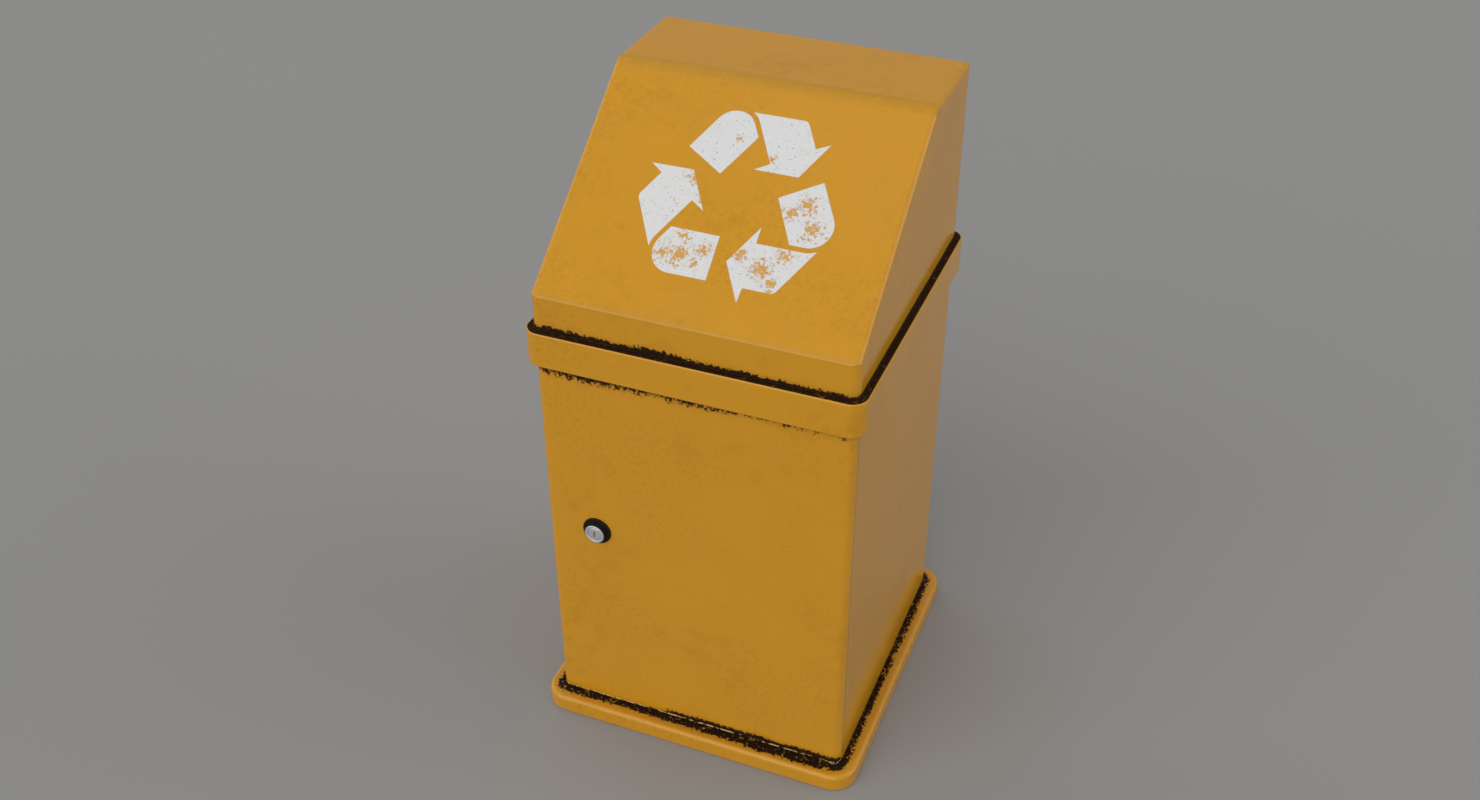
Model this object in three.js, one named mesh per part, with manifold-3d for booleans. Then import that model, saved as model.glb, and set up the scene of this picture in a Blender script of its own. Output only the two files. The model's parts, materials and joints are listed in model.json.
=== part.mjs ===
// Recycling bin station: a square, free-standing street bin with a locked front door,
// a lifting hood and a galvanised liner. Units are millimetres. +Z is up, +X is to the
// right of the front, and the front faces -Y. The origin is the centre of the plinth's
// underside.

import * as THREE from "three";
import { mergeVertices } from "three/addons/utils/BufferGeometryUtils.js";
import ManifoldModule from "manifold-3d";

const wasm = await ManifoldModule();
wasm.setup();

// ---------------------------------------------------------------- driving dimensions

const gap = 0.3; // running or assembly gap between two separate pieces
const sheet = 2; // thickness of the folded steel sheet
const past = 5; // how far a cut runs on beyond the material it goes through
const across = 300; // half width of a cut that takes in the whole bin

const body = { half: 200, radius: 11 };
const plinth = { half: 222, radius: 31, height: 25, edge: 6 };
const collar = { half: 210, radius: 21, bottom: 562, top: 608 };
const hood = { stripTop: 653, top: 844, flatDepth: 144, edge: 7, topBend: 18, lowBend: 9, rearBend: 9 };
const seal = { height: 2, inner: 198.3, outer: 202 };
const door = { bottom: 27, top: 560, depth: 18, fold: 12 };
const jamb = { front: -176, flange: 30, bottom: 51, top: 560 };
const lock = { x: -131, z: 323.5, head: 13.5, barrel: 12, plug: 9, escutcheon: 19, proud: 9.5 };
const liner = { half: 150, rim: 156, radius: 25, bottom: 40, top: 540, wall: 1.5 };
const throat = { flangeTop: 594, lip: 548, mouth: 146, shoulder: 184 };
const hinge = { y: 206.5, z: 616, knuckle: 5, pin: 2.2, spacing: 110, length: 60, leaf: 2, leafTop: 40 };
const pivot = { x: body.half - body.radius, y: body.radius - body.half, pin: 5, head: 7.5, headHeight: 3 };
const rivet = { shank: 2.2, head: 4.2, headHeight: 1.6 };

// ---------------------------------------------------------------- materials

function paint(color, roughness, metalness) {
  return new THREE.MeshStandardMaterial({ color, roughness, metalness });
}

const yellowPaint = paint("#c58d27", 0.55, 0);
const darkCoating = paint("#26231f", 0.6, 0);
const zincSteel = paint("#a7abad", 0.45, 0.85);
const galvanised = paint("#9ba1a3", 0.5, 0.8);
const polishedSteel = paint("#c9cacb", 0.3, 0.9);
const blackRubber = paint("#1b1a19", 0.85, 0);
const whiteNylon = paint("#dcdad2", 0.6, 0);

// ---------------------------------------------------------------- solids and booleans

// A geometry's shared vertices are merged so that it becomes one closed solid.
function solid(geometry) {
  const bare = geometry.index ? geometry.toNonIndexed() : geometry;
  bare.deleteAttribute("normal");
  bare.deleteAttribute("uv");
  const merged = mergeVertices(bare, 1e-4);
  return new wasm.Manifold(new wasm.Mesh({
    numProp: 3,
    vertProperties: new Float32Array(merged.attributes.position.array),
    triVerts: new Uint32Array(merged.index.array),
  }));
}

function geometryOf(manifold) {
  const mesh = manifold.getMesh();
  const geometry = new THREE.BufferGeometry();
  const corners = mesh.vertProperties;
  geometry.setAttribute("position", new THREE.BufferAttribute(new Float32Array(corners), 3));
  geometry.setIndex(new THREE.BufferAttribute(new Uint32Array(mesh.triVerts), 1));
  return geometry;
}

function joined(pieces) {
  return pieces.reduce((all, piece) => all.add(piece));
}

function box(x0, x1, y0, y1, z0, z1) {
  const geometry = new THREE.BoxGeometry(x1 - x0, y1 - y0, z1 - z0);
  geometry.translate((x0 + x1) / 2, (y0 + y1) / 2, (z0 + z1) / 2);
  return solid(geometry);
}

// A square with rounded corners, centred on the axis.
function roundedSquare(half, radius, cornerSteps = 6) {
  const points = [];
  for (let corner = 0; corner < 4; corner += 1) {
    const turn = (corner * Math.PI) / 2;
    const centre = new THREE.Vector2(half - radius, half - radius).rotateAround(new THREE.Vector2(), turn);
    for (let step = 0; step <= cornerSteps; step += 1) {
      const angle = turn + (step / cornerSteps) * (Math.PI / 2);
      points.push(new THREE.Vector2(
        centre.x + radius * Math.cos(angle),
        centre.y + radius * Math.sin(angle),
      ));
    }
  }
  return new THREE.Shape(points);
}

// An outline in XY, raised from z0 to z1.
function prism(shape, z0, z1) {
  const geometry = new THREE.ExtrudeGeometry(shape, { depth: z1 - z0, bevelEnabled: false });
  geometry.translate(0, 0, z0);
  return solid(geometry);
}

// An outline in YZ, drawn as points (y, z), carried from x0 to x1.
function bar(points, x0, x1) {
  const shape = new THREE.Shape(points.map(([y, z]) => new THREE.Vector2(y, z)));
  const geometry = new THREE.ExtrudeGeometry(shape, { depth: x1 - x0, bevelEnabled: false });
  geometry.rotateX(Math.PI / 2);
  geometry.rotateZ(Math.PI / 2);
  geometry.translate(x0, 0, 0);
  return solid(geometry);
}

// A round bar along "x", "y" or "z", from low to high, through the point given by the
// other two coordinates in x, y, z order.
function rod(axis, radius, low, high, across, sides = 24) {
  const geometry = new THREE.CylinderGeometry(radius, radius, high - low, sides);
  const middle = (low + high) / 2;
  if (axis === "x") {
    geometry.rotateZ(Math.PI / 2);
    geometry.translate(middle, across[0], across[1]);
  } else if (axis === "y") {
    geometry.translate(across[0], middle, across[1]);
  } else {
    geometry.rotateX(Math.PI / 2);
    geometry.translate(across[0], across[1], middle);
  }
  return solid(geometry);
}

const assembly = new THREE.Group();

function addPiece(name, manifold, material) {
  const mesh = new THREE.Mesh(geometryOf(manifold), material);
  mesh.name = name;
  assembly.add(mesh);
}

// ---------------------------------------------------------------- base

// The stud of the door's lower pivot is screwed into the plinth.
const stud = { depth: 14, aboveDoorFoot: 18 };
const floorBolt = { x: 100, y: 120, shank: 4, flange: 9, flangeHeight: 1.2, hex: 7.5, head: 5, depth: 16 };
const floorBoltPlaces = [[-1, -1], [1, -1], [-1, 1], [1, 1]];

function plinthSlab() {
  const shape = roundedSquare(plinth.half, plinth.radius, 8);
  const geometry = new THREE.ExtrudeGeometry(shape, {
    depth: plinth.height,
    bevelEnabled: true,
    bevelThickness: plinth.edge,
    bevelSize: plinth.edge,
    bevelOffset: -plinth.edge,
    bevelSegments: 3,
  });
  geometry.translate(0, 0, -plinth.edge);
  const belowGround = box(-across, across, -across, across, -2 * plinth.edge, 0);
  const studHole = rod(
    "z", pivot.pin + gap, plinth.height - stud.depth, plinth.height + past, [pivot.x, pivot.y],
  );
  let slab = solid(geometry).subtract(belowGround).subtract(studHole);
  for (const [sideX, sideY] of floorBoltPlaces) {
    const place = [sideX * floorBolt.x, sideY * floorBolt.y];
    slab = slab.subtract(
      rod("z", floorBolt.shank + gap, plinth.height - floorBolt.depth - gap, plinth.height + past, place, 12),
    );
  }
  return slab;
}

const floorPan = { bottom: plinth.height + gap, flange: 25, side: 197.7, front: -176 };
const drain = { x: 50, y: 80, radius: 5 };

function cabinetFloor() {
  const { bottom, flange, side, front } = floorPan;
  const innerRadius = body.radius - sheet;
  const outline = prism(roundedSquare(side, innerRadius, 4), bottom, bottom + flange);
  const inside = roundedSquare(side - sheet, innerRadius - sheet, 4);
  const pocket = prism(inside, bottom + sheet, bottom + flange + past);
  const frontCut = box(-across, across, -across, front, bottom - past, bottom + flange + past);
  const frontHalf = side - 0.5;
  const frontFlange = box(-frontHalf, frontHalf, front, front + sheet, bottom, bottom + flange);
  let pan = outline.subtract(pocket).subtract(frontCut).add(frontFlange);
  for (const [sideX, sideY] of floorBoltPlaces) {
    const place = [sideX * floorBolt.x, sideY * floorBolt.y];
    pan = pan.subtract(rod("z", floorBolt.shank + gap, bottom - past, bottom + 2 * past, place, 12));
    const drainPlace = [sideX * drain.x, sideY * drain.y];
    pan = pan.subtract(rod("z", drain.radius, bottom - past, bottom + 2 * past, drainPlace, 12));
  }
  return pan;
}

function floorBoltAt(x, y) {
  const seat = floorPan.bottom + sheet + gap;
  const shank = rod("z", floorBolt.shank, plinth.height - floorBolt.depth, seat + 1, [x, y], 12);
  const flange = rod("z", floorBolt.flange, seat, seat + floorBolt.flangeHeight, [x, y], 18);
  const head = rod("z", floorBolt.hex, seat, seat + floorBolt.flangeHeight + floorBolt.head, [x, y], 6);
  return joined([shank, flange, head]);
}

addPiece("plinth", plinthSlab(), yellowPaint);
addPiece("cabinet_floor", cabinetFloor(), zincSteel);
floorBoltPlaces.forEach(([sideX, sideY], index) => {
  addPiece(`floor_bolt_${index + 1}`, floorBoltAt(sideX * floorBolt.x, sideY * floorBolt.y), zincSteel);
});

// ---------------------------------------------------------------- cabinet

// The seam to the door runs down the left side just behind the front corner. On the
// right the wall's front end is mitred, so that it stays clear of the door's rolled edge.
function cabinetShell() {
  const low = plinth.height + gap;
  const high = collar.top - gap;
  const outer = prism(roundedSquare(body.half, body.radius), low, high);
  const inner = prism(roundedSquare(body.half - sheet, body.radius - sheet), low - past, high + past);
  const rollClearance = body.radius + 0.5;
  const outerStart = pivot.y + Math.sqrt(rollClearance ** 2 - body.radius ** 2);
  const innerStart = pivot.y + Math.sqrt(rollClearance ** 2 - (body.radius - sheet) ** 2);
  const leftStart = door.depth - body.half + 1;
  const insideWall = body.half - 40;
  const doorway = new THREE.Shape([
    new THREE.Vector2(-body.half - past, -body.half - past),
    new THREE.Vector2(body.half + past, -body.half - past),
    new THREE.Vector2(body.half + past, outerStart),
    new THREE.Vector2(body.half, outerStart),
    new THREE.Vector2(body.half - sheet, innerStart),
    new THREE.Vector2(insideWall, innerStart),
    new THREE.Vector2(insideWall, leftStart),
    new THREE.Vector2(-body.half - past, leftStart),
  ]);
  return outer.subtract(inner).subtract(prism(doorway, low - past, collar.bottom));
}

// Folded channel, open towards the cabinet wall.
function collarBand() {
  const outer = prism(roundedSquare(collar.half, collar.radius, 8), collar.bottom, collar.top);
  const mouth = roundedSquare(body.half + gap, body.radius + gap);
  const channel = roundedSquare(collar.half - sheet, collar.radius - sheet, 8);
  return outer
    .subtract(prism(mouth, collar.bottom - past, collar.top + past))
    .subtract(prism(channel, collar.bottom + sheet, collar.top - sheet));
}

// Angle with one leg on the side wall and one behind the door. side is -1 or 1.
function doorJamb(side) {
  const wall = body.half - sheet - gap;
  const inner = wall - jamb.flange;
  const outline = [
    [wall, jamb.front],
    [wall, jamb.front + jamb.flange],
    [wall - sheet, jamb.front + jamb.flange],
    [wall - sheet, jamb.front + sheet],
    [inner, jamb.front + sheet],
    [inner, jamb.front],
  ].map(([x, y]) => new THREE.Vector2(side * x, y));
  if (side > 0) outline.reverse();
  return prism(new THREE.Shape(outline), jamb.bottom, jamb.top);
}

const keep = { thickness: 1.5, left: -193, right: -166.5, low: 300, high: 347 };
const keepRivets = { x: -174, offset: 16 };

// The left jamb has two holes for the rivets of the lock's keep plate.
function leftJamb() {
  let angle = doorJamb(-1);
  for (const side of [-1, 1]) {
    const place = [keepRivets.x, lock.z + side * keepRivets.offset];
    angle = angle.subtract(rod("y", rivet.shank + gap, jamb.front - past, jamb.front + past, place, 10));
  }
  return angle;
}

// A four-sided funnel: a flat flange on the cabinet wall, then a slope down to a square mouth.
function throatPlate() {
  const wall = body.half - sheet - gap;
  const { flangeTop, lip, mouth, shoulder } = throat;
  function pyramid(bottomHalf, topHalf, z0, z1) {
    const quarterTurn = Math.PI / 4;
    const toCorner = Math.SQRT2;
    const geometry = new THREE.CylinderGeometry(topHalf * toCorner, bottomHalf * toCorner, z1 - z0, 4);
    geometry.rotateX(Math.PI / 2);
    geometry.rotateZ(quarterTurn);
    geometry.translate(0, 0, (z0 + z1) / 2);
    return solid(geometry);
  }
  const flange = prism(roundedSquare(wall, body.radius - sheet - gap), flangeTop - sheet, flangeTop);
  const slopeOuter = pyramid(mouth + sheet, shoulder + sheet, lip, flangeTop - sheet / 2);
  const slopeInner = pyramid(mouth, shoulder, lip, flangeTop);
  const through = pyramid(mouth, mouth, lip - past, lip + 1);
  return flange.add(slopeOuter).subtract(slopeInner).subtract(through);
}

addPiece("cabinet_shell", cabinetShell(), yellowPaint);
addPiece("collar", collarBand(), yellowPaint);
addPiece("left_jamb", leftJamb(), yellowPaint);
addPiece("right_jamb", doorJamb(1), yellowPaint);
addPiece("throat_plate", throatPlate(), galvanised);

// ---------------------------------------------------------------- door pivots

const upperBracket = {
  thickness: 4, inner: 172, rear: -150, chamfer: 9, leg: 20, legLength: 30, pinBelow: 17,
};

function upperPivotBracket() {
  const wall = body.half - sheet - gap;
  const { chamfer, rear } = upperBracket;
  const low = collar.bottom + gap;
  const plate = prism(new THREE.Shape([
    new THREE.Vector2(upperBracket.inner, -wall),
    new THREE.Vector2(wall - chamfer, -wall),
    new THREE.Vector2(wall, chamfer - wall),
    new THREE.Vector2(wall, rear),
    new THREE.Vector2(upperBracket.inner, rear),
  ]), low, low + upperBracket.thickness);
  const leg = box(wall - sheet, wall, rear - upperBracket.legLength, rear, low, low + upperBracket.leg);
  const pinHole = rod("z", pivot.pin + gap, low - past, low + 3 * past, [pivot.x, pivot.y]);
  return plate.add(leg).subtract(pinHole);
}

function upperPivotPin() {
  const plateTop = collar.bottom + gap + upperBracket.thickness;
  const place = [pivot.x, pivot.y];
  const shank = rod("z", pivot.pin, door.top - upperBracket.pinBelow, plateTop + gap + 1, place);
  const head = rod("z", pivot.head, plateTop + gap, plateTop + gap + pivot.headHeight, place);
  return shank.add(head);
}

function lowerPivotStud() {
  const low = plinth.height - stud.depth + gap;
  return rod("z", pivot.pin, low, door.bottom + stud.aboveDoorFoot, [pivot.x, pivot.y]);
}

function thrustWasher() {
  const place = [pivot.x, pivot.y];
  const low = plinth.height + gap;
  const high = door.bottom - gap;
  const bore = rod("z", pivot.pin + gap, low - 1, high + 1, place);
  return rod("z", body.radius - 1, low, high, place).subtract(bore);
}

addPiece("upper_pivot_bracket", upperPivotBracket(), zincSteel);
addPiece("upper_pivot_pin", upperPivotPin(), polishedSteel);
addPiece("lower_pivot_stud", lowerPivotStud(), polishedSteel);
addPiece("door_thrust_washer", thrustWasher(), whiteNylon);

// ---------------------------------------------------------------- door

// A folded pan whose hinge edge is rolled into a tube about the pivot axis. The lock
// edge is folded back and then inwards.
function doorSkin() {
  const rear = door.depth - body.half;
  const front = -body.half;
  const left = -body.half;
  const tube = rod("z", body.radius, door.bottom, door.top, [pivot.x, pivot.y], 40);
  const tubeBore = rod("z", body.radius - sheet, door.bottom - past, door.top + past, [pivot.x, pivot.y], 40);
  function panOutline(inset, rearEdge) {
    const radius = body.radius - inset;
    const points = [];
    const cornerSteps = 6;
    for (let step = 0; step <= cornerSteps; step += 1) {
      const angle = Math.PI + (step / cornerSteps) * (Math.PI / 2);
      points.push(new THREE.Vector2(
        left + body.radius + radius * Math.cos(angle),
        front + body.radius + radius * Math.sin(angle),
      ));
    }
    points.push(new THREE.Vector2(pivot.x, front + inset));
    points.push(new THREE.Vector2(pivot.x, rearEdge));
    points.push(new THREE.Vector2(left + inset, rearEdge));
    return new THREE.Shape(points);
  }
  const block = prism(panOutline(0, rear), door.bottom, door.top);
  const pocket = prism(panOutline(sheet, rear - sheet), door.bottom + sheet, door.top - sheet);
  const rearOpening = box(
    left + sheet + door.fold, pivot.x + 1, rear - sheet - 1, rear + past,
    door.bottom + sheet, door.top - sheet,
  );
  const hingeSide = box(
    pivot.x - body.radius - 0.5, body.half, pivot.y - past, 0, door.bottom - past, door.top + past,
  );
  const lockHole = rod("y", lock.barrel + gap, front - past, front + 2 * past, [lock.x, lock.z]);
  return block
    .subtract(pocket)
    .subtract(rearOpening)
    .subtract(hingeSide)
    .add(tube)
    .subtract(tubeBore)
    .subtract(lockHole);
}

const stiffener = { height: 44, flange: 10, depth: 11, thickness: 1.5, left: -180, right: 168 };
const stiffenerHeights = { upper: 445, lower: 165 };

// Top-hat section across the inside of the door.
function doorStiffener(z) {
  const { height, flange, depth, thickness: t } = stiffener;
  const base = sheet + gap - body.half;
  const half = height / 2;
  return bar([
    [base, z - half],
    [base + t, z - half],
    [base + t, z - half + flange - t],
    [base + depth, z - half + flange - t],
    [base + depth, z + half - flange + t],
    [base + t, z + half - flange + t],
    [base + t, z + half],
    [base, z + half],
    [base, z + half - flange],
    [base + depth - t, z + half - flange],
    [base + depth - t, z - half + flange],
    [base, z - half + flange],
  ], stiffener.left, stiffener.right);
}

const bush = { length: 20, play: 0.25 };

function doorBush(low, high) {
  const place = [pivot.x, pivot.y];
  const sleeve = rod("z", body.radius - sheet - gap, low, high, place);
  return sleeve.subtract(rod("z", pivot.pin + bush.play, low - 1, high + 1, place));
}

addPiece("door_skin", doorSkin(), yellowPaint);
addPiece("door_stiffener_upper", doorStiffener(stiffenerHeights.upper), yellowPaint);
addPiece("door_stiffener_lower", doorStiffener(stiffenerHeights.lower), yellowPaint);
addPiece("door_bush_upper", doorBush(door.top - bush.length, door.top), whiteNylon);
addPiece("door_bush_lower", doorBush(door.bottom, door.bottom + bush.length), whiteNylon);

// Rubber pads on the left jamb that the door's folded edge closes against.
const buffer = { radius: 4.5, upper: 520, lower: 70 };

function doorBuffer(z) {
  const foldMiddle = -body.half + sheet + door.fold / 2;
  const contact = door.depth - body.half + gap;
  return rod("y", buffer.radius, contact, jamb.front - gap, [foldMiddle, z], 16);
}

addPiece("door_buffer_upper", doorBuffer(buffer.upper), blackRubber);
addPiece("door_buffer_lower", doorBuffer(buffer.lower), blackRubber);

// ---------------------------------------------------------------- lock

const lockPlace = [lock.x, lock.z];
const escutcheonThickness = 2.5;
const cam = { thickness: 2.5, width: 16, length: 58, front: jamb.front + sheet + 2.3 };
const nut = { radius: 17, height: 6 };
const keyway = { half: 1.1, tall: 4.5, depth: 8 };

function lockEscutcheon() {
  const low = -body.half - gap - escutcheonThickness;
  const high = -body.half - gap;
  return rod("y", lock.escutcheon, low, high, lockPlace, 32)
    .subtract(rod("y", lock.barrel + gap, low - 1, high + 1, lockPlace));
}

function lockBarrel() {
  const face = -body.half - lock.proud;
  const shoulder = -body.half - 2 * gap - escutcheonThickness;
  const head = rod("y", lock.head, face, shoulder, lockPlace, 32);
  const sleeve = rod("y", lock.barrel, face, cam.front - 3.5, lockPlace);
  return head.add(sleeve).subtract(rod("y", lock.plug + gap, face - 1, 0, lockPlace));
}

function lockNut() {
  const low = sheet + gap - body.half;
  const high = low + nut.height;
  return rod("y", nut.radius, low, high, lockPlace, 6)
    .subtract(rod("y", lock.barrel + gap, low - 1, high + 1, lockPlace));
}

const camSquare = 4;
const camScrew = { shank: 2, head: 5.5, headHeight: 3, depth: 8 };

function lockPlug() {
  const face = -body.half - lock.proud + 0.6;
  const cylinder = rod("y", lock.plug, face, cam.front - gap, lockPlace);
  const drive = box(
    lock.x - camSquare, lock.x + camSquare, cam.front - 1, cam.front + cam.thickness - gap,
    lock.z - camSquare, lock.z + camSquare,
  );
  const slot = box(
    lock.x - keyway.half, lock.x + keyway.half, face - 1, face + keyway.depth,
    lock.z - keyway.tall, lock.z + keyway.tall,
  );
  const holeEnd = cam.front + cam.thickness - camScrew.depth - 1;
  const screwHole = rod("y", camScrew.shank + gap, holeEnd, 0, lockPlace, 12);
  return cylinder.add(drive).subtract(slot).subtract(screwHole);
}

// The cam hangs down when the lock is free and turns to the left behind the keep.
function lockCam() {
  const { front, thickness, width, length } = cam;
  const half = width / 2;
  const blade = box(lock.x - half, lock.x + half, front, front + thickness, lock.z - length + half, lock.z);
  const tip = rod("y", half, front, front + thickness, [lock.x, lock.z - length + half]);
  const boss = rod("y", half + 1, front, front + thickness, lockPlace);
  const square = camSquare + gap;
  const driveHole = box(
    lock.x - square, lock.x + square, front - 1, front + thickness + 1, lock.z - square, lock.z + square,
  );
  return joined([blade, tip, boss]).subtract(driveHole);
}

function camScrewPiece() {
  const seat = cam.front + cam.thickness + gap;
  const shank = rod("y", camScrew.shank, seat - camScrew.depth, seat + 1, lockPlace, 12);
  return shank.add(rod("y", camScrew.head, seat, seat + camScrew.headHeight, lockPlace, 16));
}

// Plate riveted behind the left jamb's flange, which the cam turns in behind.
function lockKeep() {
  const low = jamb.front + sheet + gap;
  let plate = box(keep.left, keep.right, low, low + keep.thickness, keep.low, keep.high);
  for (const side of [-1, 1]) {
    const place = [keepRivets.x, lock.z + side * keepRivets.offset];
    plate = plate.subtract(rod("y", rivet.shank + gap, low - 1, low + past, place, 10));
  }
  return plate;
}

addPiece("lock_escutcheon", lockEscutcheon(), darkCoating);
addPiece("lock_barrel", lockBarrel(), polishedSteel);
addPiece("lock_nut", lockNut(), zincSteel);
addPiece("lock_plug", lockPlug(), polishedSteel);
addPiece("lock_cam", lockCam(), zincSteel);
addPiece("cam_screw", camScrewPiece(), zincSteel);
addPiece("lock_keep", lockKeep(), zincSteel);

// ---------------------------------------------------------------- hood

const hoodBottom = collar.top + gap + seal.height + gap;
const openEnd = 40; // the hood's solids run this far below its edge before they are cut off
const skirt = { step: 1.5, rise: 24, overlap: 6, drop: 11 };

// The hood's outline in YZ, inset by the sheet thickness for its inner face. Points run
// from the lower front corner over the slope and the flat top to the lower rear corner.
function hoodOutline(inset, low) {
  const front = -body.half + inset;
  const rear = body.half - inset;
  const slopeFoot = new THREE.Vector2(-body.half, hood.stripTop);
  const slopeHead = new THREE.Vector2(body.half - hood.flatDepth, hood.top);
  const slopeAngle = Math.atan2(slopeHead.y - slopeFoot.y, slopeHead.x - slopeFoot.x);
  const footDrop = inset * Math.tan((Math.PI / 2 - slopeAngle) / 2);
  const headBack = inset * Math.tan(slopeAngle / 2);
  const foot = new THREE.Vector2(front, hood.stripTop - footDrop);
  const head = new THREE.Vector2(slopeHead.x + headBack, hood.top - inset);
  const corners = [
    [new THREE.Vector2(front, low), 0],
    [foot, hood.lowBend - inset],
    [head, hood.topBend - inset],
    [new THREE.Vector2(rear, hood.top - inset), hood.rearBend - inset],
    [new THREE.Vector2(rear, low), 0],
  ];
  const points = [];
  corners.forEach(([corner, radius], index) => {
    if (radius <= 0) {
      points.push(corner);
      return;
    }
    const before = corners[index - 1][0];
    const after = corners[index + 1][0];
    points.push(...filletArc(before, corner, after, radius, 4));
  });
  return new THREE.Shape(points);
}

// Points of the arc that rounds the corner between two straight edges.
function filletArc(before, corner, after, radius, steps) {
  const into = before.clone().sub(corner).normalize();
  const out = after.clone().sub(corner).normalize();
  const halfAngle = Math.acos(into.dot(out)) / 2;
  const start = corner.clone().addScaledVector(into, radius / Math.tan(halfAngle));
  const end = corner.clone().addScaledVector(out, radius / Math.tan(halfAngle));
  const bisector = into.clone().add(out).normalize();
  const centre = corner.clone().addScaledVector(bisector, radius / Math.sin(halfAngle));
  const from = Math.atan2(start.y - centre.y, start.x - centre.x);
  let sweep = Math.atan2(end.y - centre.y, end.x - centre.x) - from;
  if (sweep > Math.PI) sweep -= 2 * Math.PI;
  if (sweep < -Math.PI) sweep += 2 * Math.PI;
  const points = [];
  for (let step = 0; step <= steps; step += 1) {
    const angle = from + (sweep * step) / steps;
    points.push(new THREE.Vector2(centre.x + radius * Math.cos(angle), centre.y + radius * Math.sin(angle)));
  }
  return points;
}

// The outline carried across the width, with its two side edges rounded over.
function hoodBlock(inset) {
  const edge = hood.edge - inset;
  const half = body.half - inset;
  const geometry = new THREE.ExtrudeGeometry(hoodOutline(inset, hoodBottom - openEnd), {
    depth: 2 * (half - edge),
    bevelEnabled: true,
    bevelThickness: edge,
    bevelSize: edge,
    bevelOffset: -edge,
    bevelSegments: 3,
  });
  geometry.rotateX(Math.PI / 2);
  geometry.rotateZ(Math.PI / 2);
  geometry.translate(edge - half, 0, 0);
  return solid(geometry);
}

const hingeRivetHeight = 26; // above the hinge axis on the moving leaf
const hingeRivetDrop = 26; // below the collar's top on the fixed leaf
const hingeRivetSpread = 18;

function hoodShell() {
  const below = box(-across, across, -across, across, hoodBottom - 2 * openEnd, hoodBottom);
  let shell = hoodBlock(0).subtract(hoodBlock(sheet)).subtract(below);
  for (const side of [-1, 1]) {
    for (const spread of [-1, 1]) {
      const place = [side * hinge.spacing + spread * hingeRivetSpread, hinge.z + hingeRivetHeight];
      shell = shell.subtract(rod("y", rivet.shank + gap, body.half - past, body.half + past, place, 10));
    }
  }
  return shell;
}

// Frame inside the hood's lower edge. Its joggled lower part drops into the cabinet's mouth.
function hoodSkirt() {
  const fixedHalf = body.half - sheet - gap;
  const droppedHalf = fixedHalf - skirt.step;
  const dropBottom = collar.top - skirt.drop;
  function ring(half, z0, z1) {
    const cornerRadius = hood.edge - sheet;
    return prism(roundedSquare(half, cornerRadius, 4), z0, z1)
      .subtract(prism(roundedSquare(half - sheet, cornerRadius - sheet, 4), z0 - 1, z1 + 1));
  }
  const fixedRing = ring(fixedHalf, hoodBottom + skirt.step, hoodBottom + skirt.rise);
  return fixedRing.add(ring(droppedHalf, dropBottom, hoodBottom + skirt.overlap));
}

function hoodSeal() {
  const low = collar.top + gap;
  return prism(roundedSquare(seal.outer, body.radius + 2), low, low + seal.height)
    .subtract(prism(roundedSquare(seal.inner, body.radius - sheet), low - 1, low + seal.height + 1));
}

addPiece("hood_shell", hoodShell(), yellowPaint);
addPiece("hood_skirt", hoodSkirt(), zincSteel);
addPiece("hood_seal", hoodSeal(), blackRubber);

// ---------------------------------------------------------------- hood hinges and stops

const knuckleSplit = 11.5; // half width of the moving knuckle
const knucklePlay = 0.2; // added to the gap at each end of the moving knuckle
const webHalf = { fixed: 2.5, moving: 3 };
const leafFoot = 6; // height of the plates' lower edge above the collar's
const collarRear = collar.half + gap;

// Folded over the collar's rear edge, with a knuckle at each end.
function fixedLeaf(x) {
  const half = hinge.length / 2;
  const low = collar.top + gap;
  const ledge = box(x - half, x + half, seal.outer + 1, collarRear + hinge.leaf, low, low + hinge.leaf);
  const foot = collar.bottom + leafFoot;
  const plate = box(x - half, x + half, collarRear, collarRear + hinge.leaf, foot, low + hinge.leaf);
  let leaf = ledge.add(plate);
  for (const side of [-1, 1]) {
    const inner = x + side * (knuckleSplit + gap + knucklePlay);
    const outer = x + side * half;
    const [x0, x1] = [Math.min(inner, outer), Math.max(inner, outer)];
    leaf = leaf.add(rod("x", hinge.knuckle, x0, x1, [hinge.y, hinge.z], 20));
    leaf = leaf.add(box(x0, x1, hinge.y - webHalf.fixed, hinge.y + webHalf.fixed, low, hinge.z));
  }
  leaf = leaf.subtract(rod("x", hinge.pin + gap, x - half - 1, x + half + 1, [hinge.y, hinge.z], 16));
  for (const spread of [-1, 1]) {
    const place = [x + spread * hingeRivetSpread, collar.top - hingeRivetDrop];
    leaf = leaf.subtract(rod("y", rivet.shank + gap, collarRear - 1, collarRear + past, place, 10));
  }
  return leaf;
}

function movingLeaf(x) {
  const half = hinge.length / 2;
  const front = body.half + gap;
  const plateFoot = hinge.z + 6.5;
  const plate = box(x - half, x + half, front, front + hinge.leaf, plateFoot, hinge.z + hinge.leafTop);
  const webLow = hinge.z - webHalf.moving;
  const webHigh = hinge.z + webHalf.moving;
  const tongue = box(
    x - knuckleSplit, x + knuckleSplit, front, front + hinge.leaf, webLow, plateFoot + 0.5,
  );
  const web = box(x - knuckleSplit, x + knuckleSplit, front + 0.5, hinge.y, webLow, webHigh);
  const knuckle = rod("x", hinge.knuckle, x - knuckleSplit, x + knuckleSplit, [hinge.y, hinge.z], 20);
  let leaf = joined([plate, tongue, web, knuckle]);
  leaf = leaf.subtract(rod("x", hinge.pin + gap, x - half, x + half, [hinge.y, hinge.z], 16));
  for (const spread of [-1, 1]) {
    const place = [x + spread * hingeRivetSpread, hinge.z + hingeRivetHeight];
    leaf = leaf.subtract(rod("y", rivet.shank + gap, front - 1, front + past, place, 10));
  }
  return leaf;
}

const pinOverhang = 0.8;

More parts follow.
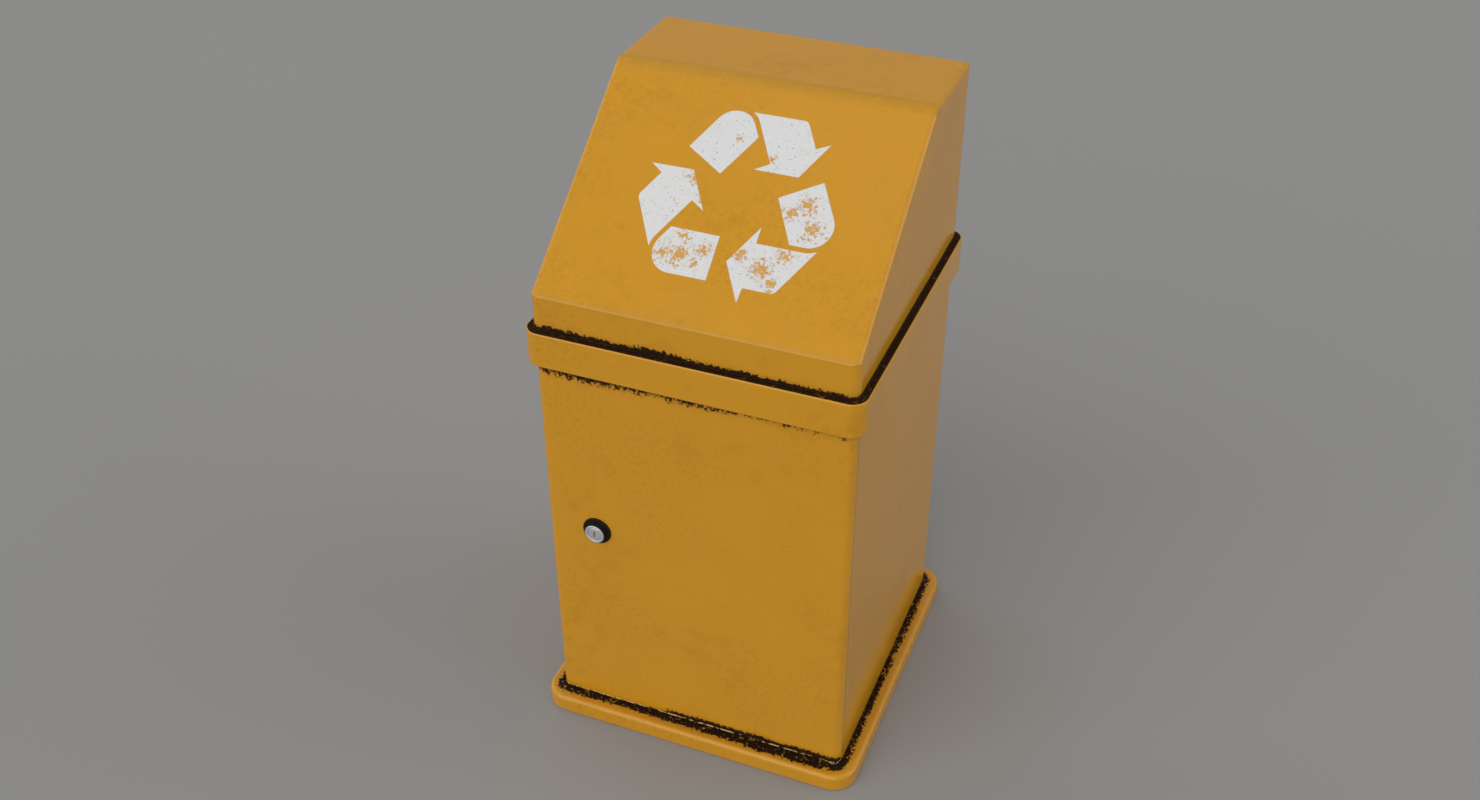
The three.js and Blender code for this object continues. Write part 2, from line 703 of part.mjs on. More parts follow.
function hingePin(x) {
  const half = hinge.length / 2 + pinOverhang;
  return rod("x", hinge.pin, x - half, x + half, [hinge.y, hinge.z], 16);
}

// Round-headed rivet along Y. The head lies on the face at seatY and looks along facing
// (1 is to the rear, -1 to the front), and the shank runs the other way.
function rivetAlongY(x, z, seatY, shankLength, facing = 1) {
  function disc(radius, from, to, sides) {
    const ends = [seatY + facing * from, seatY + facing * to];
    return rod("y", radius, Math.min(...ends), Math.max(...ends), [x, z], sides);
  }
  const shank = disc(rivet.shank, -shankLength, 0.5, 8);
  const brim = disc(rivet.head, 0, rivet.headHeight / 2, 12);
  const crown = disc(rivet.head * 0.7, 0, rivet.headHeight, 12);
  return joined([shank, brim, crown]);
}

const hoodStop = { x: 55, width: 26, thickness: 3, buffer: 2, top: 620.5 };

// Upright plate on the collar's rear that the opened hood leans on.
function hoodStopPlate(x) {
  const half = hoodStop.width / 2;
  const { thickness, top } = hoodStop;
  const upright = box(x - half, x + half, collarRear, collarRear + thickness, collar.bottom + leafFoot, top);
  const shelf = box(x - half, x + half, collarRear, collarRear + 3 * thickness, top - thickness, top);
  return upright.add(shelf);
}

function hoodStopBuffer(x) {
  const half = hoodStop.width / 2 - 2;
  const depth = 3 * hoodStop.thickness - 1;
  const low = hoodStop.top + gap;
  return box(x - half, x + half, collarRear + 0.5, collarRear + depth, low, low + hoodStop.buffer);
}

for (const [side, word] of [[-1, "left"], [1, "right"]]) {
  const x = side * hinge.spacing;
  const leafOuter = body.half + gap + hinge.leaf + gap;
  addPiece(`hinge_fixed_leaf_${word}`, fixedLeaf(x), zincSteel);
  addPiece(`hinge_moving_leaf_${word}`, movingLeaf(x), zincSteel);
  addPiece(`hinge_pin_${word}`, hingePin(x), polishedSteel);
  for (const [spread, place] of [[-1, "outer"], [1, "inner"]]) {
    const rivetX = x - side * spread * hingeRivetSpread;
    addPiece(
      `hood_rivet_${word}_${place}`,
      rivetAlongY(rivetX, hinge.z + hingeRivetHeight, leafOuter, hinge.leaf + sheet + 2 * gap),
      zincSteel,
    );
    addPiece(
      `collar_rivet_${word}_${place}`,
      rivetAlongY(rivetX, collar.top - hingeRivetDrop, collarRear + hinge.leaf + gap, hinge.leaf),
      zincSteel,
    );
  }
  addPiece(`hood_stop_${word}`, hoodStopPlate(side * hoodStop.x), zincSteel);
  addPiece(`hood_stop_buffer_${word}`, hoodStopBuffer(side * hoodStop.x), blackRubber);
}

for (const [side, word] of [[-1, "lower"], [1, "upper"]]) {
  const z = lock.z + side * keepRivets.offset;
  const shankLength = sheet + gap + keep.thickness + gap;
  addPiece(`keep_rivet_${word}`, rivetAlongY(keepRivets.x, z, jamb.front - gap, shankLength, -1), zincSteel);
}

// ---------------------------------------------------------------- liner

const handle = { z: 490, x: liner.half + 5.5, wire: 3, halfWidth: 48, drop: 36, bend: 12, end: 4 };
const handleBarrel = { outer: 5, half: 20 };
const bracketPlate = { beyondBarrel: 8, down: 14, up: 18 };
const runner = { offset: 2, thickness: 2, foot: 22, guide: 34, shelf: 27, front: -155, rear: 165 };

// Square bucket with round corners and a turned-out rim.
function linerBucket() {
  const { half, rim, radius, bottom, top, wall } = liner;
  const rimThickness = 2;
  const bucket = prism(roundedSquare(half, radius), bottom, top);
  const flange = prism(roundedSquare(rim, radius + rim - half), top - rimThickness, top);
  const hollow = prism(roundedSquare(half - wall, radius - wall), bottom + wall, top + past);
  return bucket.add(flange).subtract(hollow);
}

// Rail with a foot on the floor pan, a shelf that carries the liner and a guide beside it.
function linerRunner(side) {
  const web = liner.half + runner.offset;
  const { thickness } = runner;
  const low = floorPan.bottom + sheet + gap;
  const shelfTop = liner.bottom - gap;
  function plate(x0, x1, z0, z1) {
    const [left, right] = side > 0 ? [x0, x1] : [-x1, -x0];
    return box(left, right, runner.front, runner.rear, z0, z1);
  }
  return joined([
    plate(web, web + runner.foot, low, low + thickness),
    plate(web, web + thickness, low, low + runner.guide),
    plate(web - runner.shelf, web + thickness, shelfTop - thickness, shelfTop),
  ]);
}

// Plate on the liner's side wall with a rolled barrel for the handle's turned-in ends.
function handleBracket(side) {
  const { outer, half } = handleBarrel;
  const wall = liner.half + gap;
  const xs = [side * wall, side * (wall + sheet)];
  const plateHalf = half + bracketPlate.beyondBarrel;
  const plate = box(
    Math.min(...xs), Math.max(...xs), -plateHalf, plateHalf,
    handle.z - bracketPlate.down, handle.z + bracketPlate.up,
  );
  const barrel = rod("y", outer, -half, half, [side * handle.x, handle.z], 20);
  const bore = rod("y", handle.wire + gap, -half - 1, half + 1, [side * handle.x, handle.z], 16);
  // The wire passes the plate on both sides of the barrel, in a shallow notch.
  const notch = side > 0 ? [wall + 1, wall + 4] : [-wall - 4, -wall - 1];
  const wireSide = box(...notch, -plateHalf - 1, -half, handle.z - 4, handle.z + 4);
  const otherWireSide = wireSide.mirror([0, 1, 0]);
  return plate.add(barrel).subtract(bore).subtract(wireSide).subtract(otherWireSide);
}

// Drop handle: one bent wire whose two ends turn in towards each other inside the barrel.
function dropHandle(side) {
  const { x, z, wire, halfWidth, drop, bend, end } = handle;
  const at = (y, down) => new THREE.Vector3(side * x, y, z - down);
  const path = new THREE.CurvePath();
  path.add(new THREE.LineCurve3(at(-end, 0), at(bend - halfWidth, 0)));
  path.add(new THREE.QuadraticBezierCurve3(at(bend - halfWidth, 0), at(-halfWidth, 0), at(-halfWidth, bend)));
  path.add(new THREE.LineCurve3(at(-halfWidth, bend), at(-halfWidth, drop - bend)));
  path.add(new THREE.QuadraticBezierCurve3(
    at(-halfWidth, drop - bend), at(-halfWidth, drop), at(bend - halfWidth, drop),
  ));
  path.add(new THREE.LineCurve3(at(bend - halfWidth, drop), at(halfWidth - bend, drop)));
  path.add(new THREE.QuadraticBezierCurve3(
    at(halfWidth - bend, drop), at(halfWidth, drop), at(halfWidth, drop - bend),
  ));
  path.add(new THREE.LineCurve3(at(halfWidth, drop - bend), at(halfWidth, bend)));
  path.add(new THREE.QuadraticBezierCurve3(at(halfWidth, bend), at(halfWidth, 0), at(halfWidth - bend, 0)));
  path.add(new THREE.LineCurve3(at(halfWidth - bend, 0), at(end, 0)));
  const section = new THREE.Shape();
  section.absarc(0, 0, wire, 0, 2 * Math.PI);
  return solid(new THREE.ExtrudeGeometry(section, {
    steps: 34, curveSegments: 4, extrudePath: path, bevelEnabled: false,
  }));
}

addPiece("liner", linerBucket(), galvanised);
for (const [side, word] of [[-1, "left"], [1, "right"]]) {
  addPiece(`liner_runner_${word}`, linerRunner(side), zincSteel);
  addPiece(`liner_handle_bracket_${word}`, handleBracket(side), galvanised);
  addPiece(`liner_handle_${word}`, dropHandle(side), zincSteel);
}

export default assembly;
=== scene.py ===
"""A street recycling bin: the visual model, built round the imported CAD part.

Lengths are metres in the row frame: +Z is up, +X is to the right of the front, and the front
faces -Y. Places come from the boxes of the CAD nodes and from the dimensions named below.
"""
import json
import math

import bmesh
import bpy
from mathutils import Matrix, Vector


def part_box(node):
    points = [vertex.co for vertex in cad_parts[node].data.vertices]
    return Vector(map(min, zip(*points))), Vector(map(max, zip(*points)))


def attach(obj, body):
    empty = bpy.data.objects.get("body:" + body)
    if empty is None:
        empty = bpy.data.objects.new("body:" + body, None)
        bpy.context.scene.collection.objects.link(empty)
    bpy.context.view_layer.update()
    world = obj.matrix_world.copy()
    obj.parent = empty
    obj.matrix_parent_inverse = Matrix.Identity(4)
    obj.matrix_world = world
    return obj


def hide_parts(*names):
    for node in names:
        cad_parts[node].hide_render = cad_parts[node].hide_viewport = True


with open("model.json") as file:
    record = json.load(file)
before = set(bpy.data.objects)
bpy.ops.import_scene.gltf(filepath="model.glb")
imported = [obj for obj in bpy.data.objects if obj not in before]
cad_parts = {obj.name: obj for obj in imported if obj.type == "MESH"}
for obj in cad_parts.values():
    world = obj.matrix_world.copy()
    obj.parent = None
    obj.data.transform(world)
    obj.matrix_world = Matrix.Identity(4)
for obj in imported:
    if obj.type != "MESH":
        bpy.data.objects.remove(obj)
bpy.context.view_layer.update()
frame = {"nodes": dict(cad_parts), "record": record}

# ---------------------------------------------------------------- dimensions

MM = 0.001
X, Z = 0, 2


def span(node, axis):
    """Lowest and highest coordinate of a CAD node along an axis."""
    low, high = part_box(node)
    return low[axis], high[axis]


GAP = 0.3 * MM
SHEET = 2 * MM

BODY_HALF = span("hood_shell", X)[1]
BODY_RADIUS = 11 * MM
CORNER_AXIS = BODY_HALF - BODY_RADIUS  # the vertical corners of all bands share these axes

PLINTH_HALF = span("plinth", X)[1]
PLINTH_LOW, PLINTH_HIGH = span("plinth", Z)
COLLAR_HALF = span("collar", X)[1]
COLLAR_LOW, COLLAR_HIGH = span("collar", Z)
WALL_LOW, WALL_HIGH = span("cabinet_shell", Z)
DOOR_LOW, DOOR_HIGH = span("door_skin", Z)
DOOR_DEPTH = 18 * MM
DOOR_FOLD = 12 * MM
HOOD_LOW, HOOD_HIGH = span("hood_shell", Z)
STRIP_TOP = 653 * MM  # where the hood's front strip meets its slope
TOP_DEPTH = 144 * MM  # depth of the hood's flat top

PIVOT_X = CORNER_AXIS
PIVOT_Y = -CORNER_AXIS
LOCK_LOW, LOCK_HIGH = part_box("lock_escutcheon")
LOCK_X = (LOCK_LOW.x + LOCK_HIGH.x) / 2
LOCK_Z = (LOCK_LOW.z + LOCK_HIGH.z) / 2
LOCK_HOLE = 12.3 * MM  # radius of the hole in the door that the lock passes through

SLOPE_FOOT = Vector((0, -BODY_HALF, STRIP_TOP))
SLOPE_HEAD = Vector((0, BODY_HALF - TOP_DEPTH, HOOD_HIGH))
SLOPE_UP = (SLOPE_HEAD - SLOPE_FOOT).normalized()
SLOPE_OUT = Vector((0, -SLOPE_UP.z, SLOPE_UP.y))

# ---------------------------------------------------------------- mesh helpers

SHARP_ANGLE = math.radians(32)
SAME_PLACE = 1e-6  # points closer than this are one point
CAD_SAME_PLACE = 1e-5  # the same in the CAD's meshes
CAD_BEVEL = 0.35 * MM


def mesh_object(name, points, faces):
    """A smooth-shaded mesh object whose sharp edges stay sharp."""
    mesh = bpy.data.meshes.new(name)
    mesh.from_pydata([tuple(point) for point in points], [], faces)
    piece = bpy.data.objects.new(name, mesh)
    bpy.context.scene.collection.objects.link(piece)
    tidy_mesh(piece)
    return piece


def tidy_mesh(piece):
    """Merges doubled points, drops loose ones, turns all faces outwards and sets the shading."""
    work = bmesh.new()
    work.from_mesh(piece.data)
    bmesh.ops.remove_doubles(work, verts=work.verts, dist=SAME_PLACE)
    loose = [vertex for vertex in work.verts if not vertex.link_faces]
    bmesh.ops.delete(work, geom=loose, context="VERTS")
    bmesh.ops.recalc_face_normals(work, faces=work.faces)
    work.to_mesh(piece.data)
    work.free()
    piece.data.shade_smooth()
    piece.data.set_sharp_from_angle(angle=SHARP_ANGLE)


def weight_normals(piece):
    """Keeps the shading of flat faces flat beside rounded edges."""
    normals = piece.modifiers.new("face weighted normals", "WEIGHTED_NORMAL")
    normals.keep_sharp = True


def finish_piece(piece, body, slot, material, *replaced):
    """Puts a finished piece on its body, in place of the CAD nodes that it stands for."""
    piece.data.materials.append(material)
    weight_normals(piece)
    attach(piece, body)
    if replaced:
        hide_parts(*replaced)


def arc(centre_a, centre_b, radius, start, end, steps=6):
    """Points of an arc from one angle to another, in degrees."""
    points = []
    for step in range(steps + 1):
        angle = math.radians(start + (end - start) * step / steps)
        points.append((centre_a + radius * math.cos(angle), centre_b + radius * math.sin(angle)))
    return points


def circle(centre_a, centre_b, radius, steps):
    """Points all the way round a circle."""
    return arc(centre_a, centre_b, radius, 0, 360 * (steps - 1) / steps, steps - 1)


def fillet(before, corner, after, radius, steps=6):
    """Points of the arc that rounds a corner between two straight edges."""
    before, corner, after = Vector(before), Vector(corner), Vector(after)
    into = (before - corner).normalized()
    out = (after - corner).normalized()
    half_angle = into.angle(out) / 2
    start = corner + into * (radius / math.tan(half_angle))
    end = corner + out * (radius / math.tan(half_angle))
    centre = corner + (into + out).normalized() * (radius / math.sin(half_angle))
    first = math.atan2(start.y - centre.y, start.x - centre.x)
    sweep = math.atan2(end.y - centre.y, end.x - centre.x) - first
    sweep = (sweep + math.pi) % (2 * math.pi) - math.pi
    return arc(centre.x, centre.y, radius, math.degrees(first), math.degrees(first + sweep), steps)


def filleted(corners, steps=6):
    """Outline of a closed polygon given as (x, y, corner radius)."""
    points = []
    for index, (x, y, radius) in enumerate(corners):
        if radius == 0:
            points.append((x, y))
            continue
        before = corners[index - 1][:2]
        after = corners[(index + 1) % len(corners)][:2]
        points += fillet(before, (x, y), after, radius, steps)
    return points


def rounded_square(half, radius, steps=10):
    """Plan of a square with round corners, counter-clockwise from its rear right corner."""
    points = []
    for corner, (side_x, side_y) in enumerate([(1, 1), (-1, 1), (-1, -1), (1, -1)]):
        start = 90 * corner
        centre = half - radius
        points += arc(side_x * centre, side_y * centre, radius, start, start + 90, steps)
    return points


def ring(half, height, radius=None, steps=10):
    """A level rounded square. Unless told otherwise, its corners lie on the body's corner axes."""
    radius = half - CORNER_AXIS if radius is None else radius
    return [(x, y, height) for x, y in rounded_square(half, radius, steps)]


def loft(name, rings, closed=False):
    """Faces between rings of points. A closed loft runs back to its first ring, an open one has caps."""
    count = len(rings[0])
    points = [point for one in rings for point in one]
    faces = []
    for index in range(len(rings) if closed else len(rings) - 1):
        here = index * count
        there = (index + 1) % len(rings) * count
        for step in range(count):
            after = (step + 1) % count
            faces.append((here + step, here + after, there + after, there + step))
    if not closed:
        faces.append(tuple(reversed(range(count))))
        faces.append(tuple(range(len(points) - count, len(points))))
    return mesh_object(name, points, faces)


def prism(name, outline, low, high):
    """A plan outline raised between two heights."""
    return loft(name, [[(x, y, height) for x, y in outline] for height in (low, high)])


def box(name, x, y, z):
    """A block between two coordinates along each axis."""
    outline = [(x[0], y[0]), (x[1], y[0]), (x[1], y[1]), (x[0], y[1])]
    return prism(name, outline, *z)


def turned(name, profile, centre_x, centre_z, steps=72, closed=True):
    """A profile of (radius, y) turned about an axis along Y."""
    rings = []
    for radius, depth in profile:
        rings.append([(x, depth, z) for x, z in circle(centre_x, centre_z, radius, steps)])
    return loft(name, rings, closed)


def post(name, radius, low, high, x, y, edge=0.6 * MM, steps=64):
    """A round upright bar with slightly rounded ends."""
    profile = arc(radius - edge, low + edge, edge, -90, 0, 3)
    profile += arc(radius - edge, high - edge, edge, 0, 90, 3)
    rings = []
    for reach, height in profile:
        rings.append([(px, py, height) for px, py in circle(x, y, reach, steps)])
    return loft(name, rings)


def tube(name, path, radius, steps=16):
    """A round wire along a path that lies in a plane of constant X."""
    across = Vector((1, 0, 0))
    rings = []
    for index, point in enumerate(path):
        before = path[max(index - 1, 0)]
        after = path[min(index + 1, len(path) - 1)]
        side = (after - before).normalized().cross(across)
        rings.append([point + across * a + side * b for a, b in circle(0, 0, radius, steps)])
    return loft(name, rings)


def combine(piece, tool, operation):
    """Adds the tool to the piece or cuts it away, and removes the tool."""
    modifier = piece.modifiers.new(operation.lower(), "BOOLEAN")
    modifier.operation = operation
    modifier.solver = "EXACT"
    modifier.object = tool
    bpy.context.view_layer.update()
    result = piece.evaluated_get(bpy.context.evaluated_depsgraph_get())
    combined = bpy.data.meshes.new_from_object(result)
    piece.modifiers.clear()
    piece.data = combined
    bpy.data.objects.remove(tool)
    tidy_mesh(piece)


# ---------------------------------------------------------------- material helpers


class Surface:
    """A procedural material's node graph. Places are in metres, in the object's own space."""

    def __init__(self, name):
        self.material = bpy.data.materials.new(name)
        self.material.use_nodes = True
        self.nodes = self.material.node_tree.nodes
        self.shader = self.nodes["Principled BSDF"]
        self.place = self.nodes.new("ShaderNodeTexCoord").outputs["Object"]
        separate = self.add("ShaderNodeSeparateXYZ", [self.place])
        self.x, self.y, self.z = separate.outputs

    def add(self, kind, inputs=(), **settings):
        node = self.nodes.new(kind)
        for key, value in settings.items():
            setattr(node, key, value)
        for socket, value in zip(node.inputs, inputs):
            self.feed(socket, value)
        return node

    def feed(self, socket, value):
        if value is None:
            return
        if isinstance(value, bpy.types.NodeSocket):
            self.material.node_tree.links.new(value, socket)
        else:
            socket.default_value = value

    def set(self, name, value):
        self.feed(self.shader.inputs[name], value)

    def math(self, operation, first, second=None, clamp=False):
        return self.add("ShaderNodeMath", [first, second], operation=operation, use_clamp=clamp).outputs[0]

    def plus(self, first, second):
        return self.math("ADD", first, second)

    def minus(self, first, second, clamp=False):
        return self.math("SUBTRACT", first, second, clamp=clamp)

    def times(self, first, second):
        return self.math("MULTIPLY", first, second)

    def noise(self, scale, detail=2.0, roughness=0.5, stretch=(1, 1, 1), shift=(0, 0, 0), distortion=0.0):
        """Fractal noise from 0 to 1. Scale is in features per metre."""
        place = self.add("ShaderNodeMapping", [self.place, shift, (0, 0, 0), stretch]).outputs[0]
        node = self.nodes.new("ShaderNodeTexNoise")
        self.feed(node.inputs["Vector"], place)
        self.feed(node.inputs["Scale"], scale)
        self.feed(node.inputs["Detail"], detail)
        self.feed(node.inputs["Roughness"], roughness)
        self.feed(node.inputs["Distortion"], distortion)
        return node.outputs[0]

    def ramp(self, value, low, high, start=0.0, end=1.0):
        """Smooth step of a value from low to high, mapped to start and end."""
        inputs = [value, low, high, start, end]
        return self.add("ShaderNodeMapRange", inputs, interpolation_type="SMOOTHSTEP").outputs[0]

    def curve(self, value, low, high, points):
        """A value between low and high, sent through a curve of (0 to 1, 0 to 1) points."""
        node = self.nodes.new("ShaderNodeFloatCurve")
        self.feed(node.inputs["Value"], self.ramp_linear(value, low, high))
        line = node.mapping.curves[0]
        line.points[0].location = points[0]
        line.points[1].location = points[-1]
        for point in points[1:-1]:
            line.points.new(*point)
        node.mapping.update()
        return node.outputs[0]

    def ramp_linear(self, value, low, high, start=0.0, end=1.0):
        return self.add("ShaderNodeMapRange", [value, low, high, start, end]).outputs[0]

    def blend(self, factor, first, second):
        node = self.nodes.new("ShaderNodeMix")
        node.data_type = "RGBA"
        self.feed(node.inputs["Factor"], factor)
        self.feed(node.inputs[6], first)
        self.feed(node.inputs[7], second)
        return node.outputs[2]

    def mix(self, factor, first, second):
        node = self.nodes.new("ShaderNodeMix")
        self.feed(node.inputs["Factor"], factor)
        self.feed(node.inputs[2], first)
        self.feed(node.inputs[3], second)
        return node.outputs[0]

    def bump(self, height, depth, strength=1.0, after=None):
        """Bump whose height of 1 stands for depth in metres."""
        node = self.nodes.new("ShaderNodeBump")
        self.feed(node.inputs["Strength"], strength)
        self.feed(node.inputs["Distance"], depth)
        self.feed(node.inputs["Height"], height)
        self.feed(node.inputs["Normal"], after)
        return node.outputs[0]

    def length(self, across, along):
        """Length of the vector with these two parts."""
        return self.math("SQRT", self.plus(self.times(across, across), self.times(along, along)))

    def outside(self, half, corner_axis):
        """Distance outside a rounded square, in plan."""
        across = self.minus(self.math("ABSOLUTE", self.x), corner_axis)
        along = self.minus(self.math("ABSOLUTE", self.y), corner_axis)
        across = self.math("MAXIMUM", across, 0.0)
        along = self.math("MAXIMUM", along, 0.0)
        reach = self.minus(self.length(across, along), half - corner_axis)
        return self.math("MAXIMUM", reach, 0.0)


def colour(red, green, blue):
    """A linear colour from sRGB values of 0 to 255."""
    def linear(value):
        value = value / 255
        return value / 12.92 if value <= 0.04045 else ((value + 0.055) / 1.055) ** 2.4
    return (linear(red), linear(green), linear(blue), 1.0)


# ---------------------------------------------------------------- paint

PAINT = (0.64, 0.298, 0.012, 1.0)
PAINT_OLIVE = (0.44, 0.195, 0.006, 1.0)  # stained; also the painted shade round joints
PAINT_DUST = (0.62, 0.30, 0.030, 1.0)  # under thin dust
PAINT_DEEP = (0.50, 0.244, 0.001, 1.0)  # along the hood's bends
EDGE_HIGHLIGHT_TONE = (0.84, 0.54, 0.22, 1.0)  # painted highlight along an edge
GRIME = (0.046, 0.022, 0.010, 1.0)
GRIME_BROWN = (0.14, 0.062, 0.018, 1.0)


class Joint:
    """Grime that gathers round the body at a level joint, with painted shade round it. Its reach, and how
    ragged its edge is, have one value on the front and one on the sides and rear. profile scales the reach
    from left to right, swell is how much it varies along the joint, grain is the number of its specks per
    metre, chips is how much of it has flaked off, and joint_shade is the strength of the painted shade
    round it, which has some stain in it."""

    def __init__(self, level, reach, rag, profile, swell=0.5, grain=240, chips=0.0, joint_shade=0.3):
        self.level = level
        self.front_reach, self.side_reach = reach
        self.front_rag, self.side_rag = rag
        self.profile = profile
        self.swell = swell
        self.grain = grain
        self.chips = chips
        self.joint_shade = joint_shade


def paint_base(surface, dullness):
    """Colour, roughness and bump height of satin yellow paint that has weathered a little."""
    clouds = surface.noise(9, 3, 0.6, distortion=0.5)
    mottle = surface.noise(55, 6, 0.7, shift=(0.3, 0.1, 0.7))
    stain = surface.times(surface.ramp(clouds, 0.44, 0.66), surface.ramp(mottle, 0.42, 0.66))
    tone = surface.blend(surface.times(stain, 0.32), PAINT, PAINT_OLIVE)
    dusty = surface.ramp(surface.noise(16, 4, 0.6, shift=(0.8, 0.2, 0.5)), 0.5, 0.75)
    tone = surface.blend(surface.times(dusty, 0.3), tone, PAINT_DUST)
    worn_area = surface.ramp(surface.noise(7, 2, 0.5, shift=(0.4, 0.6, 0.9)), 0.4, 0.62)
    fine = surface.ramp(surface.noise(150, 6, 0.75, shift=(0.6, 0.1, 0.3)), 0.47, 0.62)
    fine = surface.times(surface.times(fine, worn_area), 0.34)
    tone = surface.blend(fine, tone, PAINT_OLIVE)
    speck = surface.ramp(surface.noise(480, 2, 0.5, shift=(0.5, 0.5, 0.2)), 0.68, 0.76)
    tone = surface.blend(surface.times(speck, 0.25), tone, PAINT_OLIVE)
    wear = surface.noise(130, 5, 0.65, shift=(0.9, 0.4, 0.1))
    rough = surface.ramp_linear(wear, 0.3, 0.7, 0.09 + dullness, 0.18 + dullness)
    streaks = surface.noise(220, 3, 0.6, stretch=(1, 1, 0.06), shift=(0.1, 0.4, 0.8))
    rough = surface.plus(rough, surface.ramp_linear(streaks, 0.35, 0.65, 0.0, 0.06))
    peel = surface.noise(700, 2, 0.5)
    dents = surface.noise(11, 2, 0.5, shift=(0.2, 0.7, 0.4))
    height = surface.plus(surface.times(peel, 0.02), surface.times(dents, 0.3))
    return tone, rough, height


def joint_grime(surface, joint):
    """Mask of a joint's grime, and of the painted shade round it, which has some stain in it."""
    out = surface.outside(BODY_HALF, CORNER_AXIS)
    rise = surface.minus(surface.z, joint.level)
    distance = surface.length(out, rise)
    front = surface.ramp(surface.y, 16 * MM - BODY_HALF, 3 * MM - BODY_HALF)  # fades in round the corner
    reach = surface.mix(front, joint.side_reach, joint.front_reach)
    rag = surface.mix(front, joint.side_rag, joint.front_rag)
    profile = surface.curve(surface.x, -BODY_HALF, BODY_HALF, joint.profile)
    swell = surface.noise(20, 3, 0.6, shift=(joint.level, 0.3, 0.0))
    swell = surface.ramp_linear(swell, 0.3, 0.7, 1 - joint.swell, 1 + joint.swell)
    width = surface.times(surface.times(reach, swell), profile)
    teeth = surface.noise(joint.grain, 5, 0.75, stretch=(1, 1, 0.7), shift=(0.0, joint.level, 0.4))
    teeth = surface.times(surface.minus(teeth, 0.5), rag)
    edge = surface.plus(surface.minus(distance, width), teeth)
    mask = surface.ramp(edge, -0.5 * MM, 0.5 * MM, 1.0, 0.0)
    flakes = surface.noise(130, 4, 0.6, shift=(0.7, joint.level, 0.2), distortion=1.5)
    lifted = surface.times(surface.ramp(flakes, 0.60, 0.64), joint.chips)
    mask = surface.minus(mask, lifted, clamp=True)
    # painted shade, with some stain in it: it fades out over 9 mm from the grime and is blotched by noise
    stain = surface.ramp(surface.minus(distance, width), 0.0, 9 * MM, joint.joint_shade, 0.0)
    stain = surface.times(stain, surface.ramp(surface.noise(45, 4, 0.7), 0.3, 0.6, 0.35, 1.0))
    return mask, surface.times(stain, surface.ramp(profile, 0.0, 0.5))


def bend_dirt(surface, y, z, width, strength):
    """Mask of a dull strip of dirt along a bend that runs across the hood."""
    across = surface.minus(surface.y, y)
    up = surface.minus(surface.z, z)
    strip = surface.ramp(surface.length(across, up), width * 0.3, width, strength, 0.0)
    return surface.times(strip, surface.ramp(surface.noise(90, 6, 0.75), 0.3, 0.6, 0.45, 1.0))


def worn_paint(name, joints=(), bends=(), highlight_level=None, dullness=0.0):
    """Yellow paint with grime at the given joints and dull dirt along bends, (y, z, width, strength).
    In a thin line at the height highlight_level, a painted highlight is laid on in broken lengths."""
    surface = Surface(name)
    tone, rough, height = paint_base(surface, dullness)
    grime = 0.0
    for joint in joints:
        mask, stain = joint_grime(surface, joint)
        # painted shade, with some stain in it, darkens the paint round each joint
        tone = surface.blend(stain, tone, PAINT_OLIVE)
        grime = surface.math("MAXIMUM", grime, mask)
    for bend in bends:
        dirt = bend_dirt(surface, *bend)
        tone = surface.blend(dirt, tone, PAINT_DEEP)
        rough = surface.mix(dirt, rough, 0.7)
    fleck = surface.ramp(surface.noise(330, 3, 0.6, shift=(0.2, 0.9, 0.6)), 0.56, 0.70)
    dirt = surface.blend(surface.times(fleck, 0.4), GRIME, GRIME_BROWN)
    if highlight_level is not None:
        # painted highlight in broken lengths along an edge: the paint is pale there, and rough so that it
        # has no sheen of its own
        off_line = surface.math("ABSOLUTE", surface.minus(surface.z, highlight_level))
        edge_light = surface.ramp(off_line, 0.9 * MM, 1.5 * MM, 1.0, 0.0)
        edge_light = surface.times(edge_light, surface.ramp(surface.noise(150, 4, 0.7), 0.48, 0.55))
        grime = surface.minus(grime, edge_light, clamp=True)
        tone = surface.blend(edge_light, tone, EDGE_HIGHLIGHT_TONE)
        rough = surface.mix(edge_light, rough, 0.7)
    tone = surface.blend(grime, tone, dirt)
    crust = surface.times(grime, surface.noise(420, 4, 0.7))
    height = surface.plus(height, surface.times(crust, 0.12))
    surface.set("Base Color", tone)
    surface.set("Roughness", surface.mix(grime, rough, 0.9))
    surface.set("Metallic", surface.times(grime, 0.9))  # oily grime has no pale sheen
    surface.set("Normal", surface.bump(height, 1.0 * MM, 0.8))
    return surface.material


